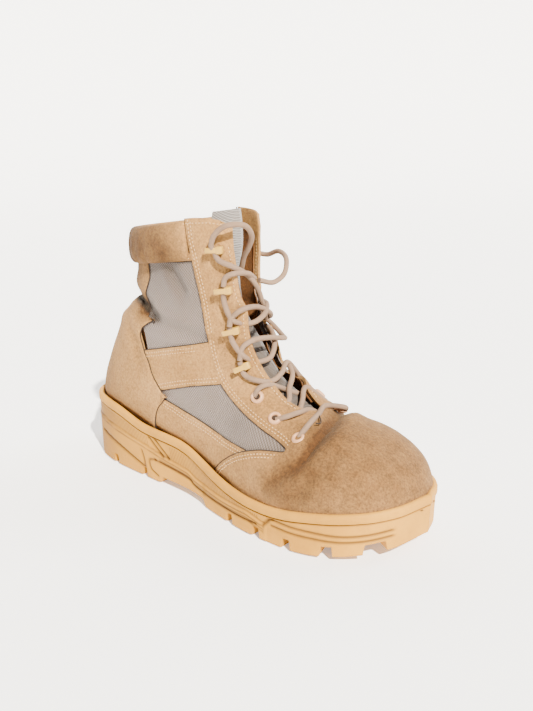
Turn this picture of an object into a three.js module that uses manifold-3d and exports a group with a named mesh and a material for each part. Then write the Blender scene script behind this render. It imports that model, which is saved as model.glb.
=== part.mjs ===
// Combat boot, right foot, standing empty on its sole.
// Millimetres. +X points to the toe, +Y to the inner (medial) side, +Z up.
// The heel's rearmost point is at X = 0 while the boot is built; the group is centred at the end.
import * as THREE from 'three';
import { mergeVertices } from 'three/addons/utils/BufferGeometryUtils.js';
import Module from 'manifold-3d';

const wasm = await Module();
wasm.setup();

// ---- driving dimensions --------------------------------------------------

const soleLength = 305;
const upperWall = 2.2;          // leather with its lining
const fitGap = 0.3;             // clearance between neighbouring pieces
const rimHeight = 6.5;          // band above the groove
const cupDepth = 12;            // rim top down to the footbed
const insoleThickness = 3.5;
const hookLength = 13;
const hookWidth = 4.4;
const laceDiameter = 4.6;

// plan outline of the sole: distance of each edge from the long axis
const soleOutline = [
  // x, lateral, medial
  { x: 0, lateral: 1.9, medial: 2 },
  { x: 3, lateral: 12.8, medial: 13 },
  { x: 10, lateral: 23.7, medial: 24 },
  { x: 25, lateral: 33.6, medial: 34 },
  { x: 50, lateral: 39, medial: 38.5 },
  { x: 90, lateral: 41.3, medial: 37 },
  { x: 130, lateral: 43.4, medial: 35.5 },
  { x: 170, lateral: 52, medial: 40 },
  { x: 205, lateral: 57.6, medial: 47 },
  { x: 235, lateral: 58.3, medial: 51 },
  { x: 262, lateral: 52.6, medial: 50 },
  { x: 284, lateral: 40.4, medial: 41 },
  { x: 298, lateral: 21.7, medial: 26.2 },
  { x: 305, lateral: -5.8, medial: 6.2 },
];

// heights along the sole: top of the rim, parting line of the two rubbers, ground side
const soleHeights = [
  // x, rim, parting, ground
  { x: 0, rim: 53, parting: 34, ground: 0 },
  { x: 22, rim: 53.5, parting: 33, ground: 0 },
  { x: 45, rim: 52, parting: 31, ground: 0 },
  { x: 85, rim: 43.5, parting: 26, ground: 0 },
  { x: 120, rim: 42, parting: 21, ground: 0 },
  { x: 150, rim: 35.5, parting: 17, ground: 0 },
  { x: 185, rim: 28.2, parting: 14.2, ground: 0 },
  { x: 215, rim: 26.3, parting: 12.5, ground: 0 },
  { x: 250, rim: 30.5, parting: 15, ground: 1 },
  { x: 280, rim: 34.5, parting: 18.5, ground: 5 },
  { x: 305, rim: 37.5, parting: 22, ground: 10 },
];

// the last, one row for each fan section from the toe over the instep and up the shaft:
// the section runs from (bx, bz) under or behind the foot to (tx, tz) on top or in front
const lastSections = [
  // low and high set how square the section is below and above its widest place,
  // inner does so for the medial half above it
  { bx: 298.2, bz: 25.5, tx: 298.5, tz: 33, mid: 5.5,
    lateral: 1, medial: 12, widest: 0.5, low: 2, high: 2, inner: 2 },
  { bx: 295, bz: 23, tx: 295.8, tz: 42, mid: 4.5,
    lateral: 14, medial: 20, widest: 0.45, low: 2.3, high: 2, inner: 2 },
  { bx: 289, bz: 21, tx: 290, tz: 50, mid: 3,
    lateral: 26, medial: 28.5, widest: 0.42, low: 2.6, high: 2.1, inner: 2.1 },
  { bx: 280, bz: 19.5, tx: 281, tz: 57.5, mid: 2,
    lateral: 36, medial: 36.5, widest: 0.4, low: 3, high: 2.2, inner: 2.2 },
  { bx: 268, bz: 18, tx: 269, tz: 64.3, mid: 1,
    lateral: 43.5, medial: 42, widest: 0.38, low: 3.2, high: 2.2, inner: 2.2 },
  { bx: 252, bz: 15.5, tx: 254, tz: 69.2, mid: 0,
    lateral: 49.5, medial: 44.8, widest: 0.36, low: 3.4, high: 2.2, inner: 2.2 },
  { bx: 235, bz: 12.8, tx: 238, tz: 72, mid: 0,
    lateral: 51.8, medial: 45, widest: 0.34, low: 3.4, high: 2.1, inner: 2.1 },
  { bx: 214, bz: 11, tx: 220, tz: 74.5, mid: 0,
    lateral: 51.5, medial: 42.5, widest: 0.33, low: 3.4, high: 2, inner: 2 },
  { bx: 192, bz: 12, tx: 204.5, tz: 83.5, mid: 0,
    lateral: 49, medial: 38.5, widest: 0.32, low: 3.4, high: 2, inner: 2 },
  { bx: 168, bz: 16.5, tx: 198, tz: 91, mid: 0,
    lateral: 45, medial: 34.5, widest: 0.32, low: 3.2, high: 2, inner: 2 },
  { bx: 142, bz: 22, tx: 193.5, tz: 98.5, mid: 0,
    lateral: 40.5, medial: 32, widest: 0.33, low: 3, high: 2, inner: 2 },
  { bx: 114, bz: 27, tx: 190.2, tz: 105.5, mid: 0,
    lateral: 38, medial: 32, widest: 0.35, low: 2.8, high: 2.1, inner: 2.1 },
  { bx: 84, bz: 29.5, tx: 188, tz: 112, mid: 0,
    lateral: 37, medial: 33, widest: 0.38, low: 2.6, high: 2.2, inner: 2.2 },
  { bx: 54, bz: 36, tx: 186.5, tz: 118, mid: 0,
    lateral: 36.5, medial: 34, widest: 0.42, low: 2.5, high: 2.3, inner: 2.3 },
  { bx: 27, bz: 39, tx: 185.2, tz: 123.5, mid: 0,
    lateral: 36.5, medial: 34.5, widest: 0.46, low: 2.4, high: 2.4, inner: 2.4 },
  { bx: 12, bz: 46, tx: 184.2, tz: 128, mid: 0,
    lateral: 36.5, medial: 35, widest: 0.5, low: 2.4, high: 2.4, inner: 2.2 },
  { bx: 11.2, bz: 58, tx: 183.3, tz: 132.5, mid: 0,
    lateral: 36.5, medial: 35, widest: 0.5, low: 2.3, high: 2.4, inner: 2.05 },
  { bx: 17, bz: 76, tx: 182.3, tz: 137.5, mid: 0,
    lateral: 36.5, medial: 35, widest: 0.5, low: 2.2, high: 2.4, inner: 1.9 },
  { bx: 26, bz: 95, tx: 181.3, tz: 143, mid: 0,
    lateral: 36.5, medial: 35, widest: 0.5, low: 2.1, high: 2.4, inner: 1.78 },
  { bx: 33, bz: 109, tx: 180.2, tz: 148.5, mid: 0,
    lateral: 36.5, medial: 35, widest: 0.5, low: 2.1, high: 2.4, inner: 1.68 },
  { bx: 36.5, bz: 118, tx: 179.4, tz: 152.5, mid: 0,
    lateral: 36, medial: 34.5, widest: 0.5, low: 2.1, high: 2.4, inner: 1.6 },
  { bx: 49.5, bz: 127, tx: 178.5, tz: 157, mid: 0,
    lateral: 35.5, medial: 34, widest: 0.5, low: 2.2, high: 2.4, inner: 1.55 },
  { bx: 56.5, bz: 138, tx: 177.4, tz: 164, mid: 0,
    lateral: 35.5, medial: 34, widest: 0.5, low: 2.2, high: 2.4, inner: 1.5 },
  { bx: 57.5, bz: 150, tx: 176.3, tz: 172.5, mid: 0,
    lateral: 36.5, medial: 34.5, widest: 0.5, low: 2.2, high: 2.4, inner: 1.5 },
  { bx: 60, bz: 163, tx: 175.2, tz: 182, mid: 0,
    lateral: 37, medial: 35, widest: 0.5, low: 2.2, high: 2.4, inner: 1.5 },
  { bx: 58.5, bz: 177, tx: 173.3, tz: 195, mid: 0,
    lateral: 37, medial: 35, widest: 0.5, low: 2.2, high: 2.4, inner: 1.5 },
  { bx: 57.5, bz: 196, tx: 170, tz: 214, mid: 0,
    lateral: 37, medial: 35, widest: 0.5, low: 2.2, high: 2.4, inner: 1.5 },
];

// ---- small helpers -------------------------------------------------------

function catmull(rows, key, position) {
  const last = rows.length - 1;
  const at = Math.min(Math.max(position, 0), last);
  const index = Math.min(Math.floor(at), last - 1);
  const t = at - index;
  const value = (i) => rows[Math.min(Math.max(i, 0), last)][key];
  const [p0, p1, p2, p3] = [value(index - 1), value(index), value(index + 1), value(index + 2)];
  const slopeIn = (p2 - p0) / 2;
  const slopeOut = (p3 - p1) / 2;
  const t2 = t * t;
  const t3 = t2 * t;
  return (2 * t3 - 3 * t2 + 1) * p1 + (t3 - 2 * t2 + t) * slopeIn
    + (3 * t2 - 2 * t3) * p2 + (t3 - t2) * slopeOut;
}

// smooth value of one column at a given x, for tables whose first column is x
function columnAt(rows, key, x) {
  const last = rows.length - 1;
  const at = Math.min(Math.max(x, rows[0].x), rows[last].x);
  let index = 0;
  while (index < last - 1 && rows[index + 1].x < at) index += 1;
  const slope = (i) => {
    if (i <= 0 || i >= last) {
      const a = Math.min(Math.max(i, 0), last - 1);
      return (rows[a + 1][key] - rows[a][key]) / (rows[a + 1].x - rows[a].x);
    }
    const before = (rows[i][key] - rows[i - 1][key]) / (rows[i].x - rows[i - 1].x);
    const after = (rows[i + 1][key] - rows[i][key]) / (rows[i + 1].x - rows[i].x);
    if (before * after <= 0) return 0;
    return (2 * before * after) / (before + after);
  };
  const span = rows[index + 1].x - rows[index].x;
  const t = (at - rows[index].x) / span;
  const t2 = t * t;
  const t3 = t2 * t;
  return (2 * t3 - 3 * t2 + 1) * rows[index][key] + (t3 - 2 * t2 + t) * span * slope(index)
    + (3 * t2 - 2 * t3) * rows[index + 1][key] + (t3 - t2) * span * slope(index + 1);
}

function geometryFrom(points, faces) {
  const geometry = new THREE.BufferGeometry();
  const flat = points.flatMap((p) => [p.x, p.y, p.z]);
  geometry.setAttribute('position', new THREE.Float32BufferAttribute(flat, 3));
  geometry.setIndex(faces.flat());
  return geometry;
}

// closed solid through rings of equal size, with a fan over each end, or with a strip
// between the two halves of the ring where it is flat and curved
function loft(rings, stripEnds = false) {
  const count = rings[0].length;
  const points = rings.flat();
  const faces = [];
  for (let r = 0; r < rings.length - 1; r += 1) {
    for (let i = 0; i < count; i += 1) {
      const j = (i + 1) % count;
      const a = r * count + i;
      const b = r * count + j;
      faces.push([a, b + count, b], [a, a + count, b + count]);
    }
  }
  for (const end of [0, rings.length - 1]) {
    if (stripEnds) {
      for (let i = 0; i < count / 2 - 1; i += 1) {
        const [a, b] = [end * count + i, end * count + i + 1];
        const [c, d] = [end * count + count - 1 - i, end * count + count - 2 - i];
        if (end === 0) faces.push([a, b, d], [a, d, c]);
        else faces.push([a, d, b], [a, c, d]);
      }
      continue;
    }
    const centre = new THREE.Vector3();
    rings[end].forEach((p) => centre.add(p));
    centre.divideScalar(count);
    const hub = points.push(centre) - 1;
    for (let i = 0; i < count; i += 1) {
      const a = end * count + i;
      const b = end * count + (i + 1) % count;
      faces.push(end === 0 ? [hub, a, b] : [hub, b, a]);
    }
  }
  return geometryFrom(points, faces);
}

function toManifold(geometry) {
  const bare = geometry.clone();
  bare.deleteAttribute('normal');
  bare.deleteAttribute('uv');
  const merged = mergeVertices(bare, 1e-4);
  const solid = new wasm.Manifold(new wasm.Mesh({
    numProp: 3,
    vertProperties: new Float32Array(merged.attributes.position.array),
    triVerts: new Uint32Array(merged.index.array),
  }));
  if (solid.volume() < 0) throw new Error('a solid is inside out');
  return solid;
}

function toGeometry(solid) {
  const mesh = solid.getMesh();
  const geometry = new THREE.BufferGeometry();
  geometry.setAttribute('position', new THREE.BufferAttribute(mesh.vertProperties, mesh.numProp));
  geometry.setIndex(new THREE.BufferAttribute(mesh.triVerts, 1));
  return geometry;
}

// ---- the last ------------------------------------------------------------

const sectionCount = lastSections.length - 1;

// point of the last: section number along the boot, turn from -1 to 1 round the section.
// turn 0 is under or behind the foot, turn -1 and 1 meet on top or in front,
// negative turns are on the lateral side
function lastPoint(section, turn) {
  const row = {};
  for (const key of Object.keys(lastSections[0])) row[key] = catmull(lastSections, key, section);
  const angle = Math.PI * Math.abs(turn);
  const along = -Math.cos(angle);
  const high = turn > 0 ? row.inner : row.high;
  const power = 2 / (along < 0 ? row.low : high);
  const reach = Math.sign(along) * Math.abs(along) ** power;
  const width = Math.max(Math.sin(angle), 0) ** power;
  const t = reach < 0 ? row.widest * (1 + reach) : row.widest + (1 - row.widest) * reach;
  const half = turn < 0 ? -(row.lateral + row.mid) : row.medial - row.mid;
  return new THREE.Vector3(
    row.bx + (row.tx - row.bx) * t,
    row.mid + half * width,
    row.bz + (row.tz - row.bz) * t,
  );
}

// the same point moved outwards by grow
function grownPoint(section, turn, grow) {
  const step = 0.02;
  const s0 = Math.max(section - step, 0);
  const s1 = Math.min(section + step, sectionCount);
  const alongBoot = lastPoint(s1, turn).sub(lastPoint(s0, turn));
  const wrap = (t) => (t > 1 ? t - 2 : t < -1 ? t + 2 : t);
  const around = lastPoint(section, wrap(turn + step)).sub(lastPoint(section, wrap(turn - step)));
  const normal = alongBoot.cross(around).normalize();
  return lastPoint(section, turn).addScaledVector(normal, grow);
}

const ringTurns = 28;

function lastRing(section, grow) {
  const ring = [];
  for (let i = 0; i < ringTurns; i += 1) {
    ring.push(grownPoint(section, -1 + (2 * i) / ringTurns, grow));
  }
  return ring;
}

// sections that the solids pass through, closer together where the form bends fast
const formSections = [];
for (let s = 0; s <= sectionCount; s += 1) formSections.push(s);
formSections.splice(1, 0, 0.5);

function lastForm(grow) {
  const rings = formSections.map((s) => lastRing(s, grow));
  const tip = rings[0].map((p) => p.clone().add(new THREE.Vector3(grow * 0.6, 0, 0)));
  rings[0] = tip;
  return toManifold(loft(rings));
}

// ---- sole functions ------------------------------------------------------

const stationCount = 26;
const toeTip = 6;               // the toe's foremost point lies to the medial side

function soleStations() {
  const stations = [];
  for (let i = 1; i < stationCount; i += 1) {
    stations.push((soleLength / 2) * (1 - Math.cos((Math.PI * i) / stationCount)));
  }
  return stations;
}

// edge point of the sole at x, moved inwards by inset along the outline's own normal
function edgePoint(x, side, inset) {
  const key = side < 0 ? 'lateral' : 'medial';
  const y = side * columnAt(soleOutline, key, x);
  const x0 = Math.max(x - 0.5, 0);
  const x1 = Math.min(x + 0.5, soleLength);
  const slope = (side * (columnAt(soleOutline, key, x1) - columnAt(soleOutline, key, x0))) / (x1 - x0);
  const length = Math.hypot(1, slope);
  return { x: x + (side * inset * slope) / length, y: y - (side * inset) / length };
}

// ring round the sole, lateral side first, then back along the medial side
function soleRing(inset, height) {
  const ring = [];
  const stations = soleStations();
  const put = (x, y, at) => ring.push(new THREE.Vector3(x, y, height(at)));
  put(inset, 0, 0);
  stations.forEach((x) => put(edgePoint(x, -1, inset).x, edgePoint(x, -1, inset).y, x));
  put(soleLength - inset, toeTip, soleLength);
  [...stations].reverse().forEach((x) => put(edgePoint(x, 1, inset).x, edgePoint(x, 1, inset).y, x));
  return ring;
}

// closed solid through rings round the sole; the two ends are strips from side to side
function soleSolid(layers) {
  const rings = layers.map((layer) => soleRing(layer.inset, layer.height));
  const count = rings[0].length;
  const points = rings.flat();
  const faces = [];
  for (let r = 0; r < rings.length - 1; r += 1) {
    for (let i = 0; i < count; i += 1) {
      const a = r * count + i;
      const b = r * count + (i + 1) % count;
      faces.push([a, b, b + count], [a, b + count, a + count]);
    }
  }
  for (const end of [0, rings.length - 1]) {
    const base = end * count;
    const turned = end === 0;
    const put = (a, b, c) => {
      faces.push(turned ? [base + a, base + c, base + b] : [base + a, base + b, base + c]);
    };
    for (let i = 0; i < stationCount; i += 1) {
      const lateral = [i, i + 1];
      const medial = [(count - i) % count, count - i - 1];
      if (i > 0) put(lateral[0], lateral[1], medial[0]);
      if (i < stationCount - 1) put(lateral[1], medial[1], medial[0]);
    }
  }
  return toManifold(geometryFrom(points, faces));
}

const heightOf = (key, shift = 0) => (x) => columnAt(soleHeights, key, x) + shift;

// ---- places on the upper --------------------------------------------------

// section and turn of the point seen at (x, z) from the side; side is -1 lateral, 1 medial
function placeAt(x, z, side) {
  const across = (section) => {
    const [bx, bz] = [catmull(lastSections, 'bx', section), catmull(lastSections, 'bz', section)];
    const [tx, tz] = [catmull(lastSections, 'tx', section), catmull(lastSections, 'tz', section)];
    return (tx - bx) * (z - bz) - (tz - bz) * (x - bx);
  };
  let low = 0;
  let high = sectionCount;
  for (let i = 0; i < 40; i += 1) {
    const middle = (low + high) / 2;
    if (across(middle) > 0) low = middle; else high = middle;
  }
  const section = (low + high) / 2;
  const row = {};
  for (const key of Object.keys(lastSections[0])) row[key] = catmull(lastSections, key, section);
  const run = (row.tx - row.bx) ** 2 + (row.tz - row.bz) ** 2;
  const t = ((x - row.bx) * (row.tx - row.bx) + (z - row.bz) * (row.tz - row.bz)) / run;
  const reach = t < row.widest ? t / row.widest - 1 : (t - row.widest) / (1 - row.widest);
  const front = side < 0 ? row.high : row.inner;
  const along = Math.sign(reach) * Math.abs(reach) ** ((reach < 0 ? row.low : front) / 2);
  return { section, turn: (side * Math.acos(-Math.min(Math.max(along, -1), 1))) / Math.PI };
}

// turn whose point lies the given distance from the long axis, on the top or front half
function turnAtWidth(section, side, width) {
  const key = side < 0 ? 'lateral' : 'medial';
  const middle = catmull(lastSections, 'mid', section);
  const half = catmull(lastSections, key, section) - side * middle;
  const high = catmull(lastSections, side < 0 ? 'high' : 'inner', section);
  const sine = Math.min(width / half, 1) ** (high / 2);
  return side * (1 - Math.asin(sine) / Math.PI);
}

// frame standing on the surface at a place: x away from the throat, y out, z up the boot
function surfaceFrame(place, height) {
  const step = 0.02;
  const origin = grownPoint(place.section, place.turn, height);
  const toward = grownPoint(place.section, place.turn - step * Math.sign(place.turn), height);
  const out = grownPoint(place.section, place.turn, height + 1).sub(origin).normalize();
  const away = toward.sub(origin);
  away.addScaledVector(out, -away.dot(out)).normalize();
  const up = away.clone().cross(out);
  const frame = new THREE.Matrix4().makeBasis(away, out, up);
  frame.setPosition(origin);
  return frame;
}

// ---- pieces --------------------------------------------------------------

const boot = new THREE.Group();

function addPiece(name, geometry, colour, roughness) {
  const material = new THREE.MeshStandardMaterial({ color: colour, roughness, metalness: 0 });
  const mesh = new THREE.Mesh(geometry, material);
  mesh.name = name;
  boot.add(mesh);
}

const colours = {
  sole: 0xd9ab6c,
  suede: 0xb8976c,
  lining: 0x9a7348,
  tongue: 0xb2aca6,
  hook: 0xe3cc84,
  eyelet: 0xefd2ae,
  lace: 0xb5998a,
};

const footbed = heightOf('rim', -cupDepth);
const belowFootbed = (lift) => soleSolid([
  { inset: -4, height: () => -40 },
  { inset: -4, height: (x) => footbed(x) + lift },
]);

// solid outline drawn from the side and stretched right across the boot
function sideways(outline) {
  const shape = new THREE.Shape(outline.map(([x, z]) => new THREE.Vector2(x, z)));
  const reach = 160;
  const geometry = new THREE.ExtrudeGeometry(shape, { depth: reach, bevelEnabled: false, curveSegments: 6 });
  geometry.rotateX(Math.PI / 2);
  geometry.translate(0, reach / 2, 0);
  return toManifold(geometry);
}

// everything above the collar, the facings' tops and their rounded front corners
const topLine = [
  [57, 190.5], [95, 196.5], [126, 201], [135, 204], [150, 205], [158, 204], [164, 200.5], [168, 195],
];

const aboveCollar = () => sideways([
  [0, 182], ...topLine, [185, 190], [260, 190], [260, 300], [0, 300],
]);

// half opening between the facings by section, measured from the long axis
const throat = [
  // x is the section number
  { x: 7, lateral: 2, medial: 1.5 },
  { x: 7.4, lateral: 10, medial: 3.5 },
  { x: 8, lateral: 14, medial: 5.5 },
  { x: 9, lateral: 15.5, medial: 11 },
  { x: 10, lateral: 16.2, medial: 19 },
  { x: 11, lateral: 17, medial: 25 },
  { x: 12, lateral: 17.8, medial: 28.5 },
  { x: 14, lateral: 19.5, medial: 30.5 },
  { x: 16, lateral: 20, medial: 30.25 },
  { x: 18, lateral: 20, medial: 29.75 },
  { x: 20, lateral: 21.5, medial: 28.75 },
  { x: 22, lateral: 23, medial: 29.75 },
  { x: 24, lateral: 24, medial: 30.75 },
  { x: 26, lateral: 25, medial: 28 },
];

// solid patch of the upper between two depths, from a lateral turn over the top to a medial turn
function patch(sections, turnsAt, outer, inner, shiftAt) {
  const steps = 6;
  const rings = sections.map((section) => {
    const [from, to] = turnsAt(section);
    const depth = (v) => {
      const turn = from + (to - from) * v;
      return turn > 1 ? turn - 2 : turn;
    };
    const ring = [];
    for (let i = 0; i <= steps; i += 1) ring.push(grownPoint(section, depth(i / steps), outer));
    for (let i = steps; i >= 0; i -= 1) ring.push(grownPoint(section, depth(i / steps), inner));
    return ring.map((p) => p.add(shiftAt(section)));
  });
  return loft(rings, true);
}

const noShift = () => new THREE.Vector3();

// turns of the lateral and medial edge, the medial one counted on past the front
function openTurns(table, section) {
  return [
    turnAtWidth(section, -1, columnAt(table, 'lateral', section)),
    turnAtWidth(section, 1, columnAt(table, 'medial', section)),
  ];
}

function throatCutter() {
  const sections = [7, 7.2, 7.4, 7.7, 8, 9, 10, 11, 12, 14, 16, 18, 20, 21, 22, 23, 24, 25, 26];
  const turnsAt = (section) => {
    const [lateral, medial] = openTurns(throat, section);
    return [medial, 2 + lateral];
  };
  return toManifold(patch(sections, turnsAt, 9, -5, noShift));
}

// lace holes of the lateral side, highest first; the hooks stand above them.
// each has a partner at the same section of the medial facing, set back from its edge
const eyeletPlaces = [
  { x: 189, z: 87 },
  { x: 205.5, z: 76.2 },
  { x: 226, z: 68.6 },
];
const hookPlaces = [
  { x: 154.5, z: 182.9 },
  { x: 160.2, z: 156.3 },
  { x: 163.5, z: 129.1 },
  { x: 171.8, z: 104.5 },
];
const behindEdge = 12.5;
const eyeletHole = 2.9;

function medialPlace(section) {
  const edge = grownPoint(section, openTurns(throat, section)[1], 0);
  let turn = openTurns(throat, section)[1];
  while (grownPoint(section, turn, 0).distanceTo(edge) < behindEdge) turn -= 0.004;
  return { section, turn };
}

// the two places of a row, lateral then medial
function rowPlaces({ x, z }) {
  const lateral = placeAt(x, z, -1);
  return [lateral, medialPlace(lateral.section)];
}

function eachSide(rows, visit) {
  rows.forEach((row, index) => {
    const [lateral, medial] = rowPlaces(row);
    visit(lateral, `lateral_${index + 1}`);
    visit(medial, `medial_${index + 1}`);
  });
}

function framed(geometry, place, height) {
  geometry.applyMatrix4(surfaceFrame(place, height));
  return geometry;
}

// the pad's cross-section is a rounded bar that follows the top of the upper round the back
const collarPad = {
  section: 24.72,
  halfSections: 1.04,
  halfThickness: 6,
  depth: 1.4,
  lateralTurn: 0.625,
  medialTurn: 0.5,
  corner: 0.72,
};

function collarForm(extra) {
  const { section, halfSections, halfThickness, depth, lateralTurn, medialTurn, corner } = collarPad;
  const perSection = 15;        // height of one section there
  const turnLength = 115;       // half the way round, for one turn
  const steps = 20;
  const sides = 12;
  const rings = [];
  const start = -lateralTurn - extra / turnLength;
  const end = medialTurn + extra / turnLength;
  for (let i = 0; i <= steps; i += 1) {
    const turn = start + ((end - start) * i) / steps;
    const fullness = 0.62 + 0.38 * Math.sin((Math.PI * i) / steps) ** 0.6;
    const ring = [];
    for (let k = 0; k < sides; k += 1) {
      const angle = (-2 * Math.PI * k) / sides;
      const [c, s] = [Math.cos(angle), Math.sin(angle)];
      const up = Math.sign(s) * Math.abs(s) ** corner * (halfSections + extra / perSection);
      const out = Math.sign(c) * Math.abs(c) ** corner * (halfThickness * fullness + extra);
      ring.push(grownPoint(section + up, turn, depth * fullness + out));
    }
    rings.push(ring);
  }
  return toManifold(loft(rings));
}

function makeUpper() {
  let upper = lastForm(upperWall).subtract(lastForm(0));
  upper = upper.subtract(aboveCollar());
  upper = upper.subtract(belowFootbed(fitGap));
  upper = upper.subtract(throatCutter());
  upper = upper.subtract(collarForm(fitGap));
  eachSide(eyeletPlaces, (place) => {
    const hole = new THREE.CylinderGeometry(eyeletHole, eyeletHole, 14, 10);
    upper = upper.subtract(toManifold(framed(hole, place, 0)));
  });
  addPiece('upper', toGeometry(upper), colours.suede, 0.95);
}

function makeCollar() {
  addPiece('collar_pad', toGeometry(collarForm(0).subtract(throatCutter())), colours.suede, 0.95);
}

// stiff leather round the heel, proud of the upper
const counterThickness = 1.7;
const counterOutline = [
  [-10, 128], [40, 130.5], [70, 134], [84, 131.5], [97, 127.5], [85.4, 118.8], [83, 112.6],
  [86.6, 104], [97, 84], [108, 71.5], [99, 60.7], [93, 50],
];

function makeCounter() {
  const inner = lastForm(upperWall + fitGap);
  const outer = lastForm(upperWall + fitGap + counterThickness);
  const above = sideways([...counterOutline, [93, 20], [-10, 20]]);
  const aboveRim = soleSolid([
    { inset: -6, height: (x) => columnAt(soleHeights, 'rim', x) + 0.4 },
    { inset: -6, height: () => 200 },
  ]);
  const counter = outer.subtract(inner).intersect(above).intersect(aboveRim);
  addPiece('heel_counter', toGeometry(counter), colours.suede, 0.95);
}

function makeMidsole() {
  const body = soleSolid([
    { inset: 0.8, height: heightOf('parting', fitGap / 2) },
    { inset: 0.3, height: heightOf('parting', 3) },
    { inset: 0.7, height: heightOf('rim', -rimHeight - 1.2) },
    { inset: 1.4, height: heightOf('rim', -rimHeight - 0.4) },
    { inset: 0, height: heightOf('rim', -rimHeight + 0.4) },
    { inset: 0, height: heightOf('rim', -1.2) },
    { inset: 1.1, height: heightOf('rim') },
  ]);
  const cup = lastForm(upperWall + fitGap).subtract(belowFootbed(0));
  addPiece('midsole', toGeometry(body.subtract(cup)), colours.sole, 0.6);
}

// channels across the tread: centre, half width and depth
const treadChannels = [
  { x: 47, half: 2.2, depth: 6.5 },
  { x: 87, half: 2.2, depth: 6.5 },
  { x: 188, half: 2.3, depth: 7 },
  { x: 216, half: 2.3, depth: 7 },
  { x: 243, half: 2.3, depth: 8 },
  { x: 267, half: 2.3, depth: 10 },
  { x: 288, half: 3.2, depth: 14 },
];
const arch = { rear: 104, front: 156, rise: 5, slope: 5 };

function makeOutsole() {
  let sole = soleSolid([
    { inset: 2.2, height: heightOf('ground') },
    { inset: 0.6, height: heightOf('ground', 5) },
    { inset: 0.2, height: heightOf('parting', -4) },
    { inset: 0.6, height: heightOf('parting', -fitGap / 2) },
  ]);
  const { rear, front, rise, slope } = arch;
  const below = -5;
  sole = sole.subtract(sideways([
    [rear, below], [front, below], [front, 0], [front - slope, rise], [rear + 3, rise], [rear, 0],
  ]));
  for (const { x, half, depth } of treadChannels) {
    const taper = 0.8;
    sole = sole.subtract(sideways([
      [x - half, below], [x + half, below], [x + half, 0],
      [x + half - taper, depth], [x - half + taper, depth], [x - half, 0],
    ]));
  }
  addPiece('outsole', toGeometry(sole), colours.sole, 0.6);
}

function makeInsole() {
  const bed = soleSolid([
    { inset: -4, height: (x) => footbed(x) + fitGap },
    { inset: -4, height: (x) => footbed(x) + fitGap + insoleThickness },
  ]);
  addPiece('insole', toGeometry(lastForm(-0.4).intersect(bed)), colours.lining, 0.9);
}

// the tongue leans back from the facings on its way up
const tongue = [
  // x is the section number
  { x: 6.4, lateral: 20, medial: 20, back: 0, drop: 0 },
  { x: 8, lateral: 24, medial: 20, back: 2, drop: 2 },
  { x: 10, lateral: 25, medial: 18, back: 8, drop: 5 },
  { x: 12, lateral: 26, medial: 15, back: 16, drop: 6 },
  { x: 14, lateral: 27, medial: 14, back: 24, drop: 4 },
  { x: 18, lateral: 27, medial: 12, back: 31, drop: 0 },
  { x: 22, lateral: 28, medial: 11, back: 28, drop: 0 },
  { x: 24.5, lateral: 29, medial: 10, back: 22, drop: 0 },
  { x: 26, lateral: 30, medial: 9, back: 19, drop: 0 },
];
const tongueThickness = 4;
const tongueDepth = 3.2;        // room for the lace between tongue and facings

function makeTongue() {
  const sections = [6.4, 7, 8, 9, 10, 11, 12, 13, 14, 16, 18, 20, 21, 22, 23, 24, 25, 25.7];
  const turnsAt = (section) => {
    const [lateral, medial] = openTurns(tongue, section);
    return [medial, 2 + lateral];
  };
  const shiftAt = (section) => {
    return new THREE.Vector3(-columnAt(tongue, 'back', section), 0, -columnAt(tongue, 'drop', section));
  };
  const geometry = patch(sections, turnsAt, -tongueDepth, -tongueDepth - tongueThickness, shiftAt);
  addPiece('tongue', toGeometry(toManifold(geometry)), colours.tongue, 0.9);
}

// hook seen from its edge: foot on the facing, riser, and an arm that reaches away from the throat
function makeHooks() {
  const foot = 2.6;
  const plate = 1.1;
  const riser = 1.5;
  const reach = hookLength - foot;
  const armLow = laceDiameter + 0.9;
  const armHigh = armLow + 1.4;
  const profile = [
    [-foot, 0], [foot, 0], [foot, plate], [riser - foot, plate], [riser - foot, armLow],
    [reach, armLow - 0.9], [reach + 0.4, armHigh - 0.9], [-foot + 0.6, armHigh], [-foot, armHigh - 0.6],
  ];
  eachSide(hookPlaces, (place, label) => {
    const shape = new THREE.Shape(profile.map(([x, y]) => new THREE.Vector2(x, y)));
    const geometry = new THREE.ExtrudeGeometry(shape, { depth: hookWidth, bevelEnabled: false });
    geometry.translate(0, 0, -hookWidth / 2);
    addPiece(`hook_${label}`, framed(geometry, place, upperWall + 0.7), colours.hook, 0.5);
  });
}

function makeEyelets() {
  const [bore, barrel, flange] = [2, 2.5, 4.9];
  const profile = [
    [bore, -2.4], [barrel, -2.4], [barrel, upperWall + 0.4], [flange, upperWall + 0.9],
    [flange - 0.3, upperWall + 1.7], [3.4, upperWall + 2.1], [bore, upperWall + 1.1], [bore, -2.4],
  ];
  eachSide(eyeletPlaces, (place, label) => {
    const geometry = new THREE.LatheGeometry(profile.map(([r, y]) => new THREE.Vector2(r, y)), 10);
    addPiece(`eyelet_${label}`, toGeometry(toManifold(framed(geometry, place, 0))), colours.eyelet, 0.45);
  });
}

// the lace between two rows: each strand leaves a hold, passes over the facing's edge
// and meets the other strand over the middle of the throat
const lace = {
  sides: 8,
  clearOfHold: 8.6,
  apart: 2.8,
  aboveFacing: 0.9,
  rise: 1.3,
  beyondEdge: 3,
  forward: 5,
  step: 13.5,
};

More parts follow.
